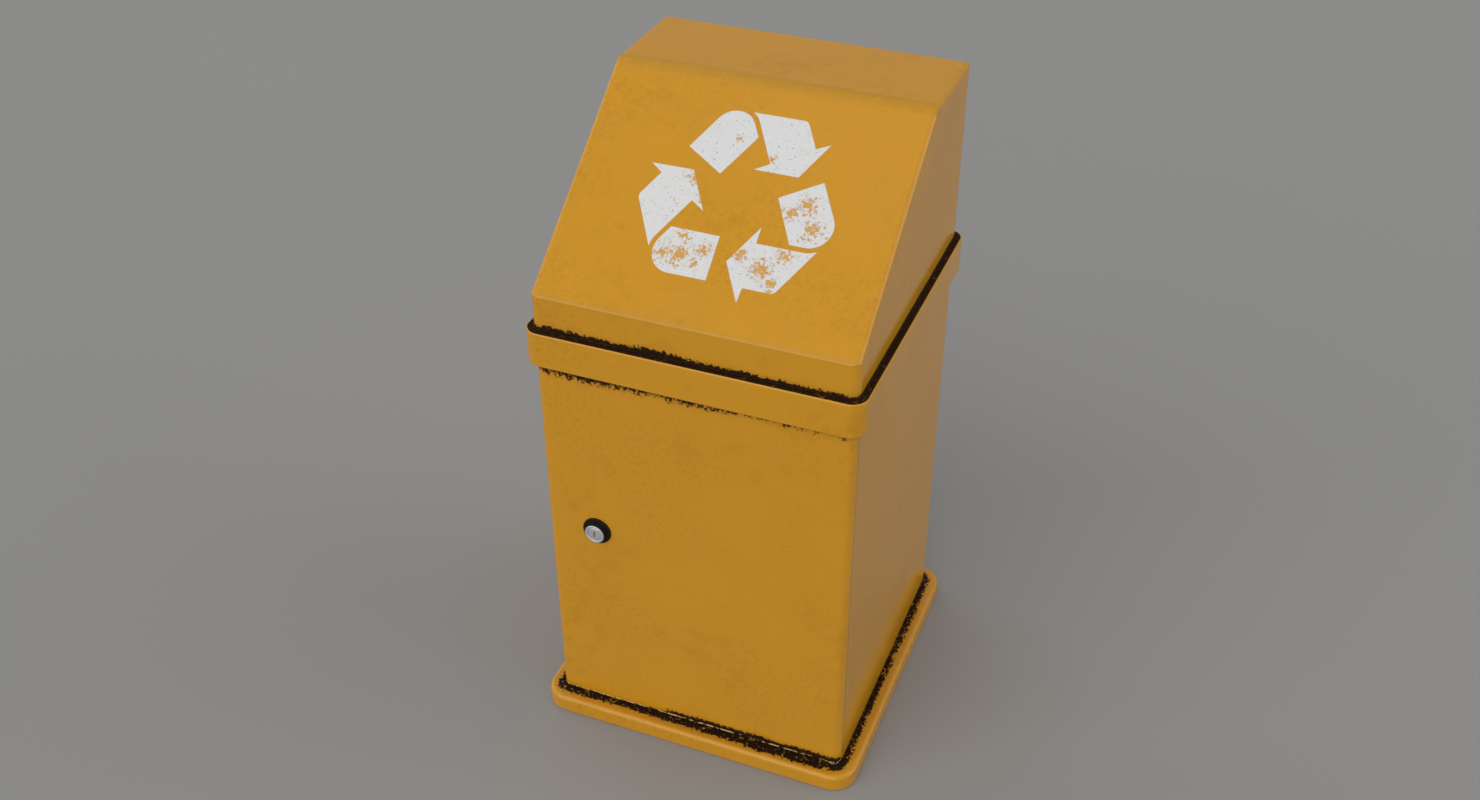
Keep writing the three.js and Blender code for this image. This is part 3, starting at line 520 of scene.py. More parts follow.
def stencil_paint(spots):
    """White stencilled paint that has flaked near the given spots: (u, v, radius) on the slope, in mm."""
    surface = Surface("stencil_paint")
    flaky = None
    for spot in spots:
        u, v, radius = [length * MM for length in spot]
        centre = SLOPE_FOOT + SLOPE_UP * v + Vector((u, 0, 0))
        away = surface.add("ShaderNodeVectorMath", [surface.place, centre], operation="DISTANCE")
        distance = away.outputs["Value"]
        near = surface.ramp(distance, radius * 0.1, radius, 1.0, 0.0)
        near = surface.plus(near, surface.ramp(distance, 0.0, radius * 0.4, 0.45, 0.0))
        flaky = near if flaky is None else surface.math("MAXIMUM", flaky, near)
    flakes = surface.noise(230, 5, 0.74, shift=(0.1, 0.8, 0.5), distortion=0.4)
    level = surface.plus(flakes, surface.times(flaky, 0.165))
    chips = surface.ramp(level, 0.665, 0.69)
    white = colour(222, 222, 223)
    grey = colour(176, 172, 166)
    smudge = surface.ramp(surface.noise(120, 4, 0.65, shift=(0.6, 0.3, 0.2)), 0.55, 0.75)
    tone = surface.blend(surface.times(smudge, 0.4), white, grey)
    rim = surface.ramp(level, 0.655, 0.675)
    tone = surface.blend(surface.times(rim, 0.35), tone, colour(205, 165, 120))
    tone = surface.blend(chips, tone, colour(214, 160, 74))
    dot = surface.ramp(surface.noise(380, 2, 0.5, shift=(0.2, 0.1, 0.9)), 0.655, 0.70)
    tone = surface.blend(surface.times(dot, 0.6), tone, colour(128, 104, 80))
    surface.set("Base Color", tone)
    surface.set("Roughness", surface.mix(chips, 0.5, 0.62))
    height = surface.minus(surface.times(surface.noise(700, 2), 0.1), chips)
    surface.set("Normal", surface.bump(height, 0.15 * MM, 0.8))
    return surface.material


# ---------------------------------------------------------------- metals, rubber and plastic


def zinc_plate():
    """Dull zinc plating, with faint blotches and fine scratches."""
    surface = Surface("zinc_plate")
    blotch = surface.noise(55, 5, 0.65)
    scratch = surface.noise(900, 2, 0.5, stretch=(1, 1, 0.06))
    tone = surface.blend(surface.ramp(blotch, 0.35, 0.7), (0.46, 0.47, 0.47, 1), (0.33, 0.34, 0.34, 1))
    rust = surface.ramp(surface.noise(38, 6, 0.72, shift=(0.4, 0.4, 0.9)), 0.66, 0.74)
    tone = surface.blend(surface.times(rust, 0.6), tone, (0.20, 0.10, 0.045, 1))
    surface.set("Base Color", tone)
    surface.set("Metallic", 0.85)
    surface.set("Roughness", surface.ramp_linear(blotch, 0.3, 0.7, 0.36, 0.52))
    surface.set("Normal", surface.bump(scratch, 0.05 * MM, 0.5))
    return surface.material


def galvanised_sheet():
    """Hot-dip galvanised sheet with its crystal spangle, and streaks of dirt that run up and down."""
    surface = Surface("galvanised_sheet")
    crystal = surface.add("ShaderNodeTexVoronoi")
    surface.feed(crystal.inputs["Vector"], surface.place)
    surface.feed(crystal.inputs["Scale"], 85)
    tint = surface.add("ShaderNodeSeparateColor", [crystal.outputs["Color"]]).outputs[0]
    tone = surface.blend(tint, (0.38, 0.39, 0.40, 1), (0.50, 0.51, 0.52, 1))
    stain = surface.ramp(surface.noise(16, 6, 0.7, stretch=(1, 1, 0.35)), 0.48, 0.72)
    tone = surface.blend(surface.times(stain, 0.5), tone, (0.16, 0.13, 0.10, 1))
    surface.set("Base Color", tone)
    surface.set("Metallic", 0.8)
    surface.set("Roughness", surface.ramp_linear(tint, 0.0, 1.0, 0.34, 0.52))
    surface.set("Normal", surface.bump(surface.noise(25, 3), 0.4 * MM, 0.5))
    return surface.material


def polished_steel(name, rim=None):
    """Bright turned steel with fine scratches and a little dirt. With a rim, it is matt black farther than
    that from the lock's axis."""
    surface = Surface(name)
    haze = surface.noise(300, 4, 0.6)
    dirt = surface.ramp(surface.noise(420, 4, 0.7, shift=(0.3, 0.5, 0.1)), 0.6, 0.75)
    tone = surface.blend(surface.times(dirt, 0.45), (0.88, 0.89, 0.91, 1), (0.30, 0.27, 0.24, 1))
    rough = surface.ramp_linear(haze, 0.3, 0.7, 0.34, 0.5)
    metal = 1.0
    if rim is not None:
        radius = surface.length(surface.minus(surface.x, LOCK_X), surface.minus(surface.z, LOCK_Z))
        metal = surface.ramp(radius, rim - 0.25 * MM, rim + 0.25 * MM, 1.0, 0.0)
        tone = surface.blend(metal, (0.008, 0.007, 0.007, 1), tone)
        rough = surface.mix(metal, 0.6, rough)
    surface.set("Base Color", tone)
    surface.set("Metallic", metal)
    surface.set("Roughness", rough)
    surface.set("Normal", surface.bump(surface.noise(1500, 2), 0.02 * MM, 0.5))
    return surface.material


def black_rubber():
    """Matt rubber with dusty wear."""
    surface = Surface("black_rubber")
    dust = surface.ramp(surface.noise(140, 5, 0.7), 0.45, 0.75)
    black, dusty = (0.012, 0.011, 0.010, 1), (0.06, 0.05, 0.04, 1)
    tone = surface.blend(surface.times(dust, 0.35), black, dusty)
    surface.set("Base Color", tone)
    surface.set("Roughness", surface.ramp_linear(dust, 0.0, 1.0, 0.62, 0.85))
    surface.set("Normal", surface.bump(surface.noise(1100, 3, 0.6), 0.12 * MM, 0.6))
    return surface.material


def grimy_rubber():
    """Rubber under the same oily black grime as the joint that it closes."""
    surface = Surface("grimy_rubber")
    crust = surface.noise(330, 5, 0.7)
    surface.set("Base Color", surface.blend(surface.ramp(crust, 0.5, 0.72), GRIME, GRIME_BROWN))
    surface.set("Metallic", 0.9)
    surface.set("Roughness", 0.9)
    surface.set("Normal", surface.bump(crust, 0.5 * MM, 0.8))
    return surface.material


def black_coating():
    """Matt black coating on the lock's ring, with greasy grime on it."""
    surface = Surface("black_coating")
    crust = surface.noise(520, 4, 0.7)
    tone = surface.blend(surface.ramp(crust, 0.4, 0.7), (0.006, 0.005, 0.005, 1), (0.022, 0.014, 0.009, 1))
    surface.set("Base Color", tone)
    surface.set("Roughness", surface.ramp_linear(crust, 0.3, 0.7, 0.45, 0.75))
    surface.set("Specular IOR Level", 0.15)
    surface.set("Normal", surface.bump(crust, 0.3 * MM, 0.7))
    return surface.material


def white_nylon():
    """Moulded nylon, slightly yellowed."""
    surface = Surface("white_nylon")
    age = surface.noise(90, 3, 0.6)
    tone = surface.blend(surface.ramp(age, 0.4, 0.7), (0.72, 0.70, 0.64, 1), (0.58, 0.53, 0.43, 1))
    surface.set("Base Color", tone)
    surface.set("Roughness", surface.ramp_linear(age, 0.3, 0.7, 0.38, 0.5))
    surface.set("Subsurface Weight", 0.08)
    surface.set("Normal", surface.bump(surface.noise(800, 2), 0.05 * MM, 0.5))
    return surface.material


# ---------------------------------------------------------------- base and cabinet


def plinth_casting():
    """Heavy base slab with a rounded top edge."""
    edge = 6 * MM
    foot = 2.5 * MM
    profile = arc(PLINTH_HALF - foot, PLINTH_LOW + foot, foot, -90, 0, 3)
    profile += arc(PLINTH_HALF - edge, PLINTH_HIGH - edge, edge, 0, 90, 8)
    return loft("plinth_casting", [ring(half, height, steps=16) for half, height in profile])


def cabinet_walls():
    """Folded wall sheet: three sides, and a full header ring above the doorway."""
    left_start = DOOR_DEPTH - BODY_HALF + 1 * MM
    roll_clearance = BODY_RADIUS + 0.12 * MM

    def loop(inset):
        half = BODY_HALF - inset
        radius = BODY_RADIUS - inset
        right_start = PIVOT_Y + math.sqrt(roll_clearance ** 2 - radius ** 2)
        plan = rounded_square(half, radius)
        middle = len(plan) // 2
        return [*plan[:middle], (-half, left_start), *plan[middle:], (half, right_start)]

    outer, inner = loop(0), loop(SHEET)
    count = len(outer)
    levels = [WALL_LOW, COLLAR_LOW, WALL_HIGH]
    points = [(x, y, height) for height in levels for plan in (outer, inner) for x, y in plan]
    doorway = range(count // 2 - 1, count - 1)

    def corner(level, inside, index):
        return (level * 2 + inside) * count + index % count

    def kept(level, index):
        return 0 <= level < 2 and not (level == 0 and index % count in doorway)

    faces = []
    for level in range(2):
        for index in range(count):
            if not kept(level, index):
                continue
            for inside in (0, 1):
                faces.append([
                    corner(level, inside, index), corner(level, inside, index + 1),
                    corner(level + 1, inside, index + 1), corner(level + 1, inside, index),
                ])
            for rise in (0, 1):
                if not kept(level - 1 + 2 * rise, index):
                    faces.append([
                        corner(level + rise, 0, index), corner(level + rise, 0, index + 1),
                        corner(level + rise, 1, index + 1), corner(level + rise, 1, index),
                    ])
            for along in (0, 1):
                if not kept(level, index - 1 + 2 * along):
                    faces.append([
                        corner(level, 0, index + along), corner(level + 1, 0, index + along),
                        corner(level + 1, 1, index + along), corner(level, 1, index + along),
                    ])
    return mesh_object("cabinet_walls", points, faces)


def collar_band():
    """Channel folded round the cabinet's mouth, with a small bend radius along both edges."""
    bend = 2.2 * MM
    inner_bend = bend - SHEET
    mouth = BODY_HALF + GAP
    outer = COLLAR_HALF - bend
    section = [(mouth, COLLAR_HIGH)]
    section += arc(outer, COLLAR_HIGH - bend, bend, 90, 0)
    section += arc(outer, COLLAR_LOW + bend, bend, 0, -90)
    section += [(mouth, COLLAR_LOW), (mouth, COLLAR_LOW + SHEET)]
    section += arc(outer, COLLAR_LOW + bend, inner_bend, -90, 0, 2)
    section += arc(outer, COLLAR_HIGH - bend, inner_bend, 0, 90, 2)
    section += [(mouth, COLLAR_HIGH - SHEET)]
    return loft("collar_band", [ring(half, height, steps=12) for half, height in section], closed=True)


# ---------------------------------------------------------------- door and lock


def door_panel():
    """Folded pan with a rolled hinge edge, closed at the top and bottom."""
    bend = 2.2 * MM
    rear = DOOR_DEPTH - BODY_HALF

    def outline(inset, rear_edge):
        centre = BODY_RADIUS - BODY_HALF
        points = arc(centre, centre, BODY_RADIUS - inset, 180, 270, 10)
        return [*points, (PIVOT_X, inset - BODY_HALF), (PIVOT_X, rear_edge), (inset - BODY_HALF, rear_edge)]

    profile = arc(-bend, DOOR_LOW + bend, bend, -90, 0) + arc(-bend, DOOR_HIGH - bend, bend, 0, 90)
    rings = [[(x, y, height) for x, y in outline(-out, rear)] for out, height in profile]
    panel = loft("door_panel", rings)
    low, high = DOOR_LOW + SHEET, DOOR_HIGH - SHEET
    beyond = 5 * MM
    combine(panel, prism("pocket", outline(SHEET, rear - SHEET), low, high), "DIFFERENCE")
    opening_left = SHEET + DOOR_FOLD - BODY_HALF
    opening_depth = (rear - 2 * SHEET, rear + beyond)
    opening = box("opening", (opening_left, PIVOT_X + beyond), opening_depth, (low, high))
    combine(panel, opening, "DIFFERENCE")
    hinge_side = box(
        "hinge_side", (PIVOT_X - BODY_RADIUS - 0.5 * MM, BODY_HALF), (PIVOT_Y - beyond, 0),
        (DOOR_LOW - beyond, DOOR_HIGH + beyond),
    )
    combine(panel, hinge_side, "DIFFERENCE")
    combine(panel, post("roll", BODY_RADIUS, DOOR_LOW, DOOR_HIGH, PIVOT_X, PIVOT_Y), "UNION")
    bore = post("bore", BODY_RADIUS - SHEET, DOOR_LOW - beyond, DOOR_HIGH + beyond, PIVOT_X, PIVOT_Y)
    combine(panel, bore, "DIFFERENCE")
    lock_hole = [(LOCK_HOLE, -BODY_HALF - beyond), (LOCK_HOLE, -BODY_HALF + beyond)]
    combine(panel, turned("hole", lock_hole, LOCK_X, LOCK_Z, closed=False), "DIFFERENCE")
    return panel


def lock_ring():
    """Black ring on the door round the lock, with a rounded rim."""
    front, back = LOCK_LOW.y, LOCK_HIGH.y
    outer = (LOCK_HIGH.x - LOCK_LOW.x) / 2
    rim = 1.4 * MM
    profile = [(LOCK_HOLE, back), (outer, back)]
    profile += [(radius, depth) for depth, radius in arc(front + rim, outer - rim, rim, 90, 180)]
    profile += [(LOCK_HOLE, front)]
    return turned("lock_ring", profile, LOCK_X, LOCK_Z)


def lock_barrel():
    """Lock body: a bright head with a raised outer ring, and the sleeve through the door."""
    low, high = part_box("lock_barrel")
    front, back = low.y, high.y
    head = (high.x - low.x) / 2
    sleeve = 12 * MM
    bore = 9.3 * MM
    shoulder = LOCK_LOW.y - GAP
    rim, rim_width = 1.6 * MM, 2.6 * MM
    recess = 0.7 * MM
    chamfer = 0.4 * MM
    profile = [(sleeve, back), (sleeve, shoulder), (head, shoulder)]
    profile += [(radius, depth) for depth, radius in arc(front + rim, head - rim, rim, 90, 180)]
    profile += [(head - rim_width, front), (head - rim_width - chamfer, front + recess)]
    profile += [(bore, front + recess), (bore, back)]
    return turned("lock_barrel_turned", profile, LOCK_X, LOCK_Z)


def lock_plug():
    """Turning plug with its keyway, and the square that drives the cam."""
    low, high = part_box("lock_plug")
    front, back = low.y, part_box("lock_cam")[0].y - GAP
    radius = (high.x - low.x) / 2
    edge = 0.7 * MM
    centre = 0.5 * MM  # each end is closed by a small flat disc
    profile = [(centre, back), (radius, back)]
    profile += [(reach, depth) for depth, reach in arc(front + edge, radius - edge, edge, 90, 180, 4)]
    profile += [(centre, front)]
    plug = turned("lock_plug_turned", profile, LOCK_X, LOCK_Z, closed=False)
    square = 4 * MM
    drive_x, drive_z = [(middle - square, middle + square) for middle in (LOCK_X, LOCK_Z)]
    combine(plug, box("drive", drive_x, (back - 1 * MM, high.y), drive_z), "UNION")
    slot_half, slot_rise, slot_corner = 1.1 * MM, 4.5 * MM, 0.5 * MM
    slot = filleted([
        (LOCK_X + across * slot_half, LOCK_Z + up * slot_rise, slot_corner)
        for across, up in [(-1, -1), (1, -1), (1, 1), (-1, 1)]
    ], 3)
    depths = (front - 2 * MM, front + 8 * MM)
    keyway = loft("keyway", [[(x, depth, z) for x, z in slot] for depth in depths])
    combine(plug, keyway, "DIFFERENCE")
    return plug


# ---------------------------------------------------------------- hood

HOOD_EDGES = [11 * MM, 7 * MM, 7 * MM, 11 * MM]  # side rounding of the strip, slope, top and rear
HOOD_BENDS = [4 * MM, 18 * MM, 9 * MM]  # bend radii from strip to slope, slope to top and top to rear


def hood_profile(inset, edge_share):
    """The hood's outline in YZ, moved in by inset, and on each face by that share of its side rounding.
    Each point is (y, z, side rounding there)."""
    normals = [Vector((1, 0)), Vector((SLOPE_UP.z, -SLOPE_UP.y)), Vector((0, -1)), Vector((-1, 0))]
    through = [
        Vector((-BODY_HALF, STRIP_TOP)), Vector((-BODY_HALF, STRIP_TOP)),
        Vector((BODY_HALF, HOOD_HIGH)), Vector((BODY_HALF, HOOD_HIGH)),
    ]
    depths = [inset + edge_share * (edge - inset) for edge in HOOD_EDGES]
    lines = [(point + normal * depth, normal) for point, normal, depth in zip(through, normals, depths)]

    def meet(first, second):
        (point_a, normal_a), (point_b, normal_b) = first, second
        determinant = normal_a.x * normal_b.y - normal_a.y * normal_b.x
        a, b = point_a.dot(normal_a), point_b.dot(normal_b)
        y = (a * normal_b.y - b * normal_a.y) / determinant
        z = (b * normal_a.x - a * normal_b.x) / determinant
        return Vector((y, z))

    bends = range(len(HOOD_BENDS))
    corners = [meet(lines[index], lines[index + 1]) for index in bends]
    start = Vector((lines[0][0].x, HOOD_LOW))
    end = Vector((lines[3][0].x, HOOD_LOW))
    path = [start, *corners, end]
    points = [(start.x, start.y, HOOD_EDGES[0])]
    for index in bends:
        depth = (depths[index] + depths[index + 1]) / 2
        radius = max(HOOD_BENDS[index] - depth, 0.4 * MM)
        bend = fillet(path[index], path[index + 1], path[index + 2], radius, 8)
        for step, (y, z) in enumerate(bend):
            share = step / (len(bend) - 1)
            points.append((y, z, HOOD_EDGES[index] * (1 - share) + HOOD_EDGES[index + 1] * share))
    points.append((end.x, end.y, HOOD_EDGES[3]))
    return points


def hood_skin(inset, steps=8):
    """Rings of the hood's skin, from its left side to its right, at one face of the sheet."""
    rings = []
    for side in (-1, 1):
        angles = [90 * step / steps for step in range(steps + 1)]
        for angle in (reversed(angles) if side < 0 else angles):
            share = 1 - math.cos(math.radians(angle))
            reach = math.sin(math.radians(angle))
            one = []
            for y, z, edge in hood_profile(inset, share):
                rounding = edge - inset
                x = BODY_HALF - inset - rounding + rounding * reach
                one.append((side * x, y, z))
            rings.append(one)
    return rings


def hood_cover():
    """Folded hood: front strip, slope, flat top, rear and sides, open below."""
    outer, inner = hood_skin(0), hood_skin(SHEET)
    rows, count = len(outer), len(outer[0])
    points = [point for one in outer + inner for point in one]

    def corner(inside, row, index):
        return (inside * rows + row) * count + index

    faces = []
    for inside in (0, 1):
        for row in range(rows - 1):
            for index in range(count - 1):
                faces.append([
                    corner(inside, row, index), corner(inside, row, index + 1),
                    corner(inside, row + 1, index + 1), corner(inside, row + 1, index),
                ])
        for row in (0, rows - 1):
            faces.append([corner(inside, row, index) for index in range(count)])
    for index in (0, count - 1):
        for row in range(rows - 1):
            faces.append([
                corner(0, row, index), corner(0, row + 1, index),
                corner(1, row + 1, index), corner(1, row, index),
            ])
    for row in (0, rows - 1):
        faces.append([
            corner(0, row, 0), corner(0, row, count - 1), corner(1, row, count - 1), corner(1, row, 0),
        ])
    return mesh_object("hood_cover", points, faces)


def hood_gasket():
    """Rubber strip on the collar that the hood rests on."""
    low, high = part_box("hood_seal")
    inner, outer = BODY_HALF - 1.7 * MM, high.x
    round_edge = 0.8 * MM
    section = [(inner, low.z), (outer, low.z)]
    section += arc(outer - round_edge, high.z - round_edge, round_edge, 0, 90, 4)
    section += arc(inner + round_edge, high.z - round_edge, round_edge, 90, 180, 4)
    return loft("hood_gasket", [ring(half, height) for half, height in section], closed=True)


# ---------------------------------------------------------------- recycling symbol

SYMBOL_CENTRE = (9.2 * MM, 161.5 * MM)  # on the slope: across it, and up it from its foot
SYMBOL_STRETCH = (0.985, 1.006)  # the same two ways
SYMBOL_GAP = 6 * MM
SHAFT_BEND = 26.4 * MM


def symbol_outlines():
    """Outlines of one arrow, bent over a corner: its tail piece and its head piece."""
    apex = Vector((-35.2, 138.7)) * MM
    tail = filleted([
        (-82 * MM, 57.5 * MM, 0), (apex.x, apex.y, SHAFT_BEND),
        (-3 * MM, 83 * MM, 0), (-34 * MM, 30.5 * MM, 0),
    ], 16)
    bend_centre = apex - Vector((0, 2 * SHAFT_BEND))
    reach = SHAFT_BEND + SYMBOL_GAP
    top = 113.5 * MM
    first = math.degrees(math.asin((top - bend_centre.y) / reach))
    inner_side = arc(bend_centre.x, bend_centre.y, reach, first, 30, 8)
    corner = fillet((68.5 * MM, 81 * MM), (49.7 * MM, top), inner_side[0], 8 * MM, 5)
    points = [(21.2, 53), (4, 43), (59, 43), (85, 89), (68.5, 81)]
    head = [*inner_side, *[(x * MM, y * MM) for x, y in points], *corner]
    return tail, head


def recycling_symbol():
    """Three bent arrows as a thin layer of paint on the hood's slope."""
    film = 0.12 * MM
    sunk = -0.1 * MM  # its underside lies inside the sheet, so no gap shows
    points, faces = [], []
    for turn in (0, -120, 120):
        cosine, sine = math.cos(math.radians(turn)), math.sin(math.radians(turn))
        for outline in symbol_outlines():
            first, count = len(points), len(outline)
            for height in (sunk, film):
                for a, b in outline:
                    u = SYMBOL_CENTRE[0] + SYMBOL_STRETCH[0] * (a * cosine - b * sine)
                    v = SYMBOL_CENTRE[1] + SYMBOL_STRETCH[1] * (a * sine + b * cosine)
                    points.append(SLOPE_FOOT + SLOPE_UP * v + SLOPE_OUT * height + Vector((u, 0, 0)))
            faces.append([first + index for index in reversed(range(count))])
            faces.append([first + count + index for index in range(count)])
            for index in range(count):
                after = (index + 1) % count
                faces.append([first + index, first + after, first + count + after, first + count + index])
    return mesh_object("recycling_symbol", points, faces)


# ---------------------------------------------------------------- liner


def liner_bucket():
    """Galvanised bucket with two swaged ribs and a rolled rim."""
    low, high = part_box("liner")
    half, wall = 150 * MM, 1.5 * MM
    corner_axis = half - 25 * MM
    bead = high.x - half
    foot = 8 * MM
    rib_depth, rib_half = 2 * MM, 6 * MM
    rim_centre = (half + bead / 2, high.z - bead / 2)

    def side(reach, heights):
        points = []
        for height in heights:
            for share in (-1, -0.5, 0, 0.5, 1):
                dent = rib_depth * (1 - share * share)
                points.append((reach - dent, height + share * rib_half))
        return points

    ribs = [160 * MM, 300 * MM]  # heights
    profile = arc(half - foot, low.z + foot, foot, -90, 0)
    profile += side(half, ribs)
    roll_start, roll_end = 200, 450  # degrees
    profile += arc(*rim_centre, bead / 2, roll_start, roll_end, 14)
    lip = 0.5 * MM
    profile += [(half - wall + 0.8 * lip, high.z), (half - wall, high.z - lip)]
    profile += list(reversed(side(half - wall, ribs)))
    profile += list(reversed(arc(half - foot, low.z + foot, foot - wall, -90, 0)))
    rings = [ring(reach, height, radius=reach - corner_axis, steps=12) for reach, height in profile]
    return loft("liner_bucket", rings)


def drop_handle(word):
    """Wire handle whose two ends turn in towards each other inside the bracket's barrel."""
    low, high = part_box(f"liner_handle_{word}")
    radius = (high.x - low.x) / 2
    x = (low.x + high.x) / 2
    top, bottom = high.z - radius, low.z + radius
    half = high.y - radius
    bend, end = 10 * MM, 4 * MM
    corners = [(-end, top), (-half, top), (-half, bottom), (half, bottom), (half, top), (end, top)]
    flat = [corners[0]]
    for before, corner, after in zip(corners, corners[1:], corners[2:]):
        flat += fillet(before, corner, after, bend, 8)
    flat.append(corners[-1])
    return tube(f"drop_handle_{word}", [Vector((x, y, z)) for y, z in flat], radius)


# ---------------------------------------------------------------- CAD nodes that stay


def smooth_by_angle():
    """Geometry nodes that shade a mesh smooth, and keep edges sharper than the limit."""
    group = bpy.data.node_groups.new("smooth_by_angle", "GeometryNodeTree")
    group.interface.new_socket("Geometry", in_out="INPUT", socket_type="NodeSocketGeometry")
    group.interface.new_socket("Geometry", in_out="OUTPUT", socket_type="NodeSocketGeometry")
    source = group.nodes.new("NodeGroupInput")
    target = group.nodes.new("NodeGroupOutput")
    angle = group.nodes.new("GeometryNodeInputMeshEdgeAngle")
    compare = group.nodes.new("FunctionNodeCompare")
    compare.operation = "LESS_EQUAL"
    compare.inputs[1].default_value = SHARP_ANGLE
    faces = group.nodes.new("GeometryNodeSetShadeSmooth")
    edges = group.nodes.new("GeometryNodeSetShadeSmooth")
    edges.domain = "EDGE"
    link = group.links.new
    link(source.outputs[0], faces.inputs["Geometry"])
    link(faces.outputs[0], edges.inputs["Geometry"])
    link(angle.outputs[0], compare.inputs[0])
    link(compare.outputs[0], edges.inputs["Shade Smooth"])
    link(edges.outputs[0], target.inputs[0])
    return group


def dress_cad_node(node, material, smoothing):
    """Welds a CAD mesh, merges its flat facets, softens its edges and paints it."""
    piece = frame["nodes"][node]
    piece.data.materials.clear()
    piece.data.materials.append(material)
    weld = piece.modifiers.new("weld", "WELD")
    weld.merge_threshold = CAD_SAME_PLACE
    flats = piece.modifiers.new("merge flat facets", "DECIMATE")
    flats.decimate_type = "DISSOLVE"
    flats.angle_limit = math.radians(1)
    edges = piece.modifiers.new("soft edges", "BEVEL")
    edges.width = CAD_BEVEL
    edges.segments = 2
    edges.limit_method = "ANGLE"
    edges.angle_limit = SHARP_ANGLE
    slivers = piece.modifiers.new("merge slivers", "WELD")
    slivers.merge_threshold = CAD_SAME_PLACE
    shading = piece.modifiers.new("smooth by angle", "NODES")
    shading.node_group = smoothing
    weight_normals(piece)


# ---------------------------------------------------------------- stage, light and camera


def soft_light(name, strength, source, spread):
    """A very broad, distant light that comes from the direction of source. spread is in degrees."""
    data = bpy.data.lights.new(name, "SUN")
    data.energy = strength
    data.angle = math.radians(spread)
    data.color = (1.0, 0.985, 0.96)
    light = bpy.data.objects.new(name, data)
    bpy.context.scene.collection.objects.link(light)
    light.rotation_euler = Vector(source).to_track_quat("Z", "Y").to_euler()


def studio():
    """Pale grey floor under an even grey sky, with broad soft lights on all sides."""
    reach = 14  # metres from the middle to each side
    corners = [(x * reach, y * reach, 0) for x, y in [(-1, -1), (1, -1), (1, 1), (-1, 1)]]
    floor = mesh_object("floor", corners, [(0, 1, 2, 3)])
    surface = Surface("floor_grey")
    cloud = surface.noise(1.2, 3, 0.5)
    surface.set("Base Color", surface.blend(cloud, (0.325, 0.323, 0.321, 1), (0.335, 0.333, 0.331, 1)))
    surface.set("Roughness", 1.0)
    surface.set("Specular IOR Level", 0.0)
    floor.data.materials.append(surface.material)

    scene = bpy.context.scene
    world = bpy.data.worlds.new("even sky")
    scene.world = world
    world.use_nodes = True
    sky = world.node_tree.nodes["Background"]
    sky.inputs["Color"].default_value = (0.98, 0.99, 1.0, 1)
    sky.inputs["Strength"].default_value = 0.34
    soft_light("front", 2.0, (-0.25, -1, 0.4), 86)
    soft_light("right", 0.92, (1, 0.25, 0.25), 60)
    soft_light("rear left", 0.6, (-1, 0.35, 0.3), 72)
    soft_light("overhead", 0.25, (0.05, 0.3, 1), 70)

    scene.view_settings.view_transform = "Standard"
    scene.view_settings.look = "None"


def camera():
    """The photograph's viewpoint."""
    data = bpy.data.cameras.new("camera")
    data.lens = 37.825
    data.sensor_width = 36
    eye = bpy.data.objects.new("camera", data)
    eye.location = (0.5905, -1.5260, 1.5853)
    pitch_down, yaw = math.radians(35.308), math.radians(21.742)
    eye.rotation_euler = (math.pi / 2 - pitch_down, 0, yaw)
    bpy.context.scene.collection.objects.link(eye)
    bpy.context.scene.camera = eye


# ---------------------------------------------------------------- assembly

# how far the grime reaches from its joint, from the left of the bin (0) to its right (1)
UNDER_COLLAR = [
    (0, 0.5), (0.04, 0.9), (0.33, 1), (0.39, 0.6), (0.43, 0.8), (0.6, 0.75), (0.66, 0.45), (0.76, 0.4),
    (0.79, 0.7), (0.82, 0.4), (1, 0.35),
]
DOOR_FOOT = [(0, 0.35), (0.36, 0.45), (0.41, 0.9), (0.6, 1), (1, 1)]
HOOD_FOOT = [
    (0, 0.5), (0.1, 0.9), (0.2, 1), (0.3, 0.5), (0.36, 0.9), (0.41, 1), (0.5, 0.6), (0.8, 0.45), (1, 0.5),
]
ALL_ROUND = [(0, 1), (1, 1)]
PLINTH_LEDGE = [(0, 0.9), (0.06, 0.8), (0.66, 0.9), (0.7, 1.1), (0.97, 1.15), (1, 0.9)]

FOOT_HIGHLIGHT_LEVEL = DOOR_LOW + 2.6 * MM  # height of the painted highlight along the door's foot

hood_paint = worn_paint(
    "hood_paint",
    joints=[Joint(HOOD_LOW, (4.6 * MM, 1.6 * MM), (22 * MM, 4 * MM), HOOD_FOOT, grain=260, chips=0.2)],
    bends=[
        (SLOPE_FOOT.y, SLOPE_FOOT.z + 2 * MM, 7 * MM, 0.45),
        (SLOPE_HEAD.y, SLOPE_HEAD.z, 15 * MM, 0.8),
    ],
)
collar_paint = worn_paint(
    "collar_paint",
    joints=[Joint(
        COLLAR_HIGH, (8.6 * MM, 8.4 * MM), (0.5 * MM, 0.5 * MM), ALL_ROUND, swell=0.0, chips=0.3, joint_shade=0.0,
    )],
)
cabinet_joints = [
    Joint(
        COLLAR_LOW, (12 * MM, 7.2 * MM), (56 * MM, 12 * MM), UNDER_COLLAR, swell=0.15, grain=330, joint_shade=0.4,
    ),
    Joint(PLINTH_HIGH, (12.6 * MM, 3 * MM), (22 * MM, 14 * MM), DOOR_FOOT, swell=0.2, chips=0.3, joint_shade=0.4),
]
cabinet_paint = worn_paint("cabinet_paint", joints=cabinet_joints)
door_paint = worn_paint("door_paint", joints=cabinet_joints, highlight_level=FOOT_HIGHLIGHT_LEVEL)
plinth_paint = worn_paint(
    "plinth_paint",
    joints=[Joint(
        PLINTH_HIGH, (12 * MM, 10 * MM), (22 * MM, 28 * MM), PLINTH_LEDGE, swell=0.15, chips=0.95,
    )],
    dullness=0.06,
)
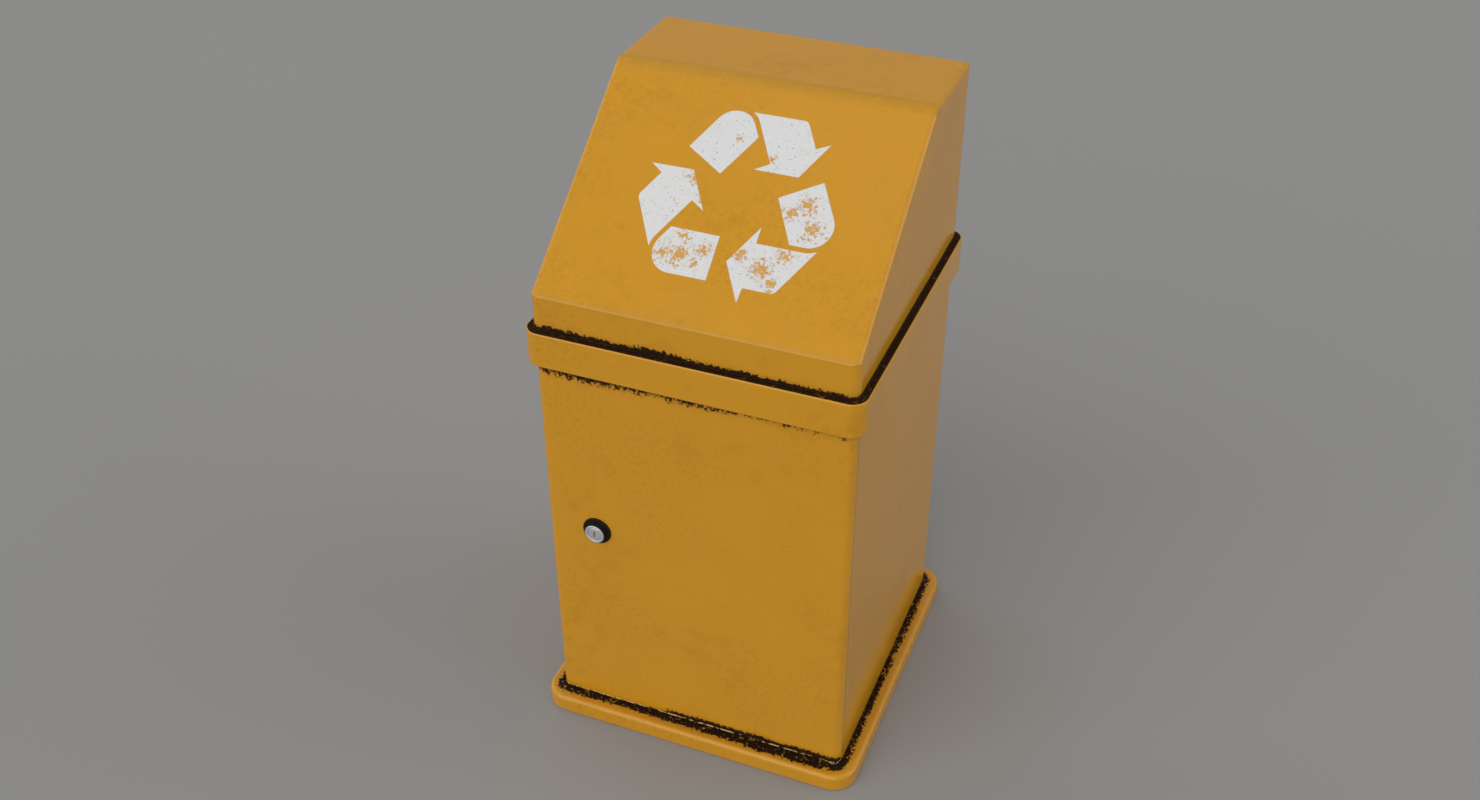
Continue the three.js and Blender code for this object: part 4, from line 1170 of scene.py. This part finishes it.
stencil = stencil_paint([
    (-40, 86, 32), (-60, 84, 22), (-40, 110, 18), (-14, 96, 22), (-20, 78, 16), (30, 99, 20), (60, 87, 30),
    (80, 108, 22), (75, 72, 20), (73, 161, 22), (103, 144, 30), (88, 172, 28), (-50, 181, 20),
    (-33, 166, 24), (30, 222, 12), (-15, 240, 12),
])
zinc = zinc_plate()
galvanised = galvanised_sheet()
steel = polished_steel("polished_steel")
barrel_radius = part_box("lock_barrel")[1].x - LOCK_X
blackened = polished_steel("blackened_steel", rim=barrel_radius - 0.6 * MM)
rubber = black_rubber()
coating = black_coating()
nylon = white_nylon()

finish_piece(plinth_casting(), "cabinet", "painted_cast_iron", plinth_paint, "plinth")
finish_piece(cabinet_walls(), "cabinet", "yellow_paint", cabinet_paint, "cabinet_shell")
finish_piece(collar_band(), "cabinet", "yellow_paint", collar_paint, "collar")
finish_piece(hood_gasket(), "cabinet", "black_rubber", grimy_rubber(), "hood_seal")
finish_piece(liner_bucket(), "cabinet", "galvanised_steel", galvanised, "liner")
finish_piece(door_panel(), "door", "yellow_paint", door_paint, "door_skin")
finish_piece(lock_ring(), "door", "black_coating", coating, "lock_escutcheon")
finish_piece(lock_barrel(), "door", "polished_steel", blackened, "lock_barrel")
finish_piece(lock_plug(), "lock", "polished_steel", steel, "lock_plug")
finish_piece(hood_cover(), "hood", "yellow_paint", hood_paint, "hood_shell")
finish_piece(recycling_symbol(), "hood", "yellow_paint", stencil)
for word in ("left", "right"):
    finish_piece(drop_handle(word), f"{word}_handle", "zinc_plated_steel", zinc, f"liner_handle_{word}")

slot_materials = {
    "yellow_paint": cabinet_paint, "painted_cast_iron": plinth_paint, "zinc_plated_steel": zinc,
    "galvanised_steel": galvanised, "polished_steel": steel, "black_coating": coating,
    "black_rubber": rubber, "white_nylon": nylon,
}
smoothing = smooth_by_angle()
for part in frame["record"]["subparts"]:
    if not frame["nodes"][part["node"]].hide_render:
        dress_cad_node(part["node"], slot_materials[part["material_slot"]], smoothing)

studio()
camera()
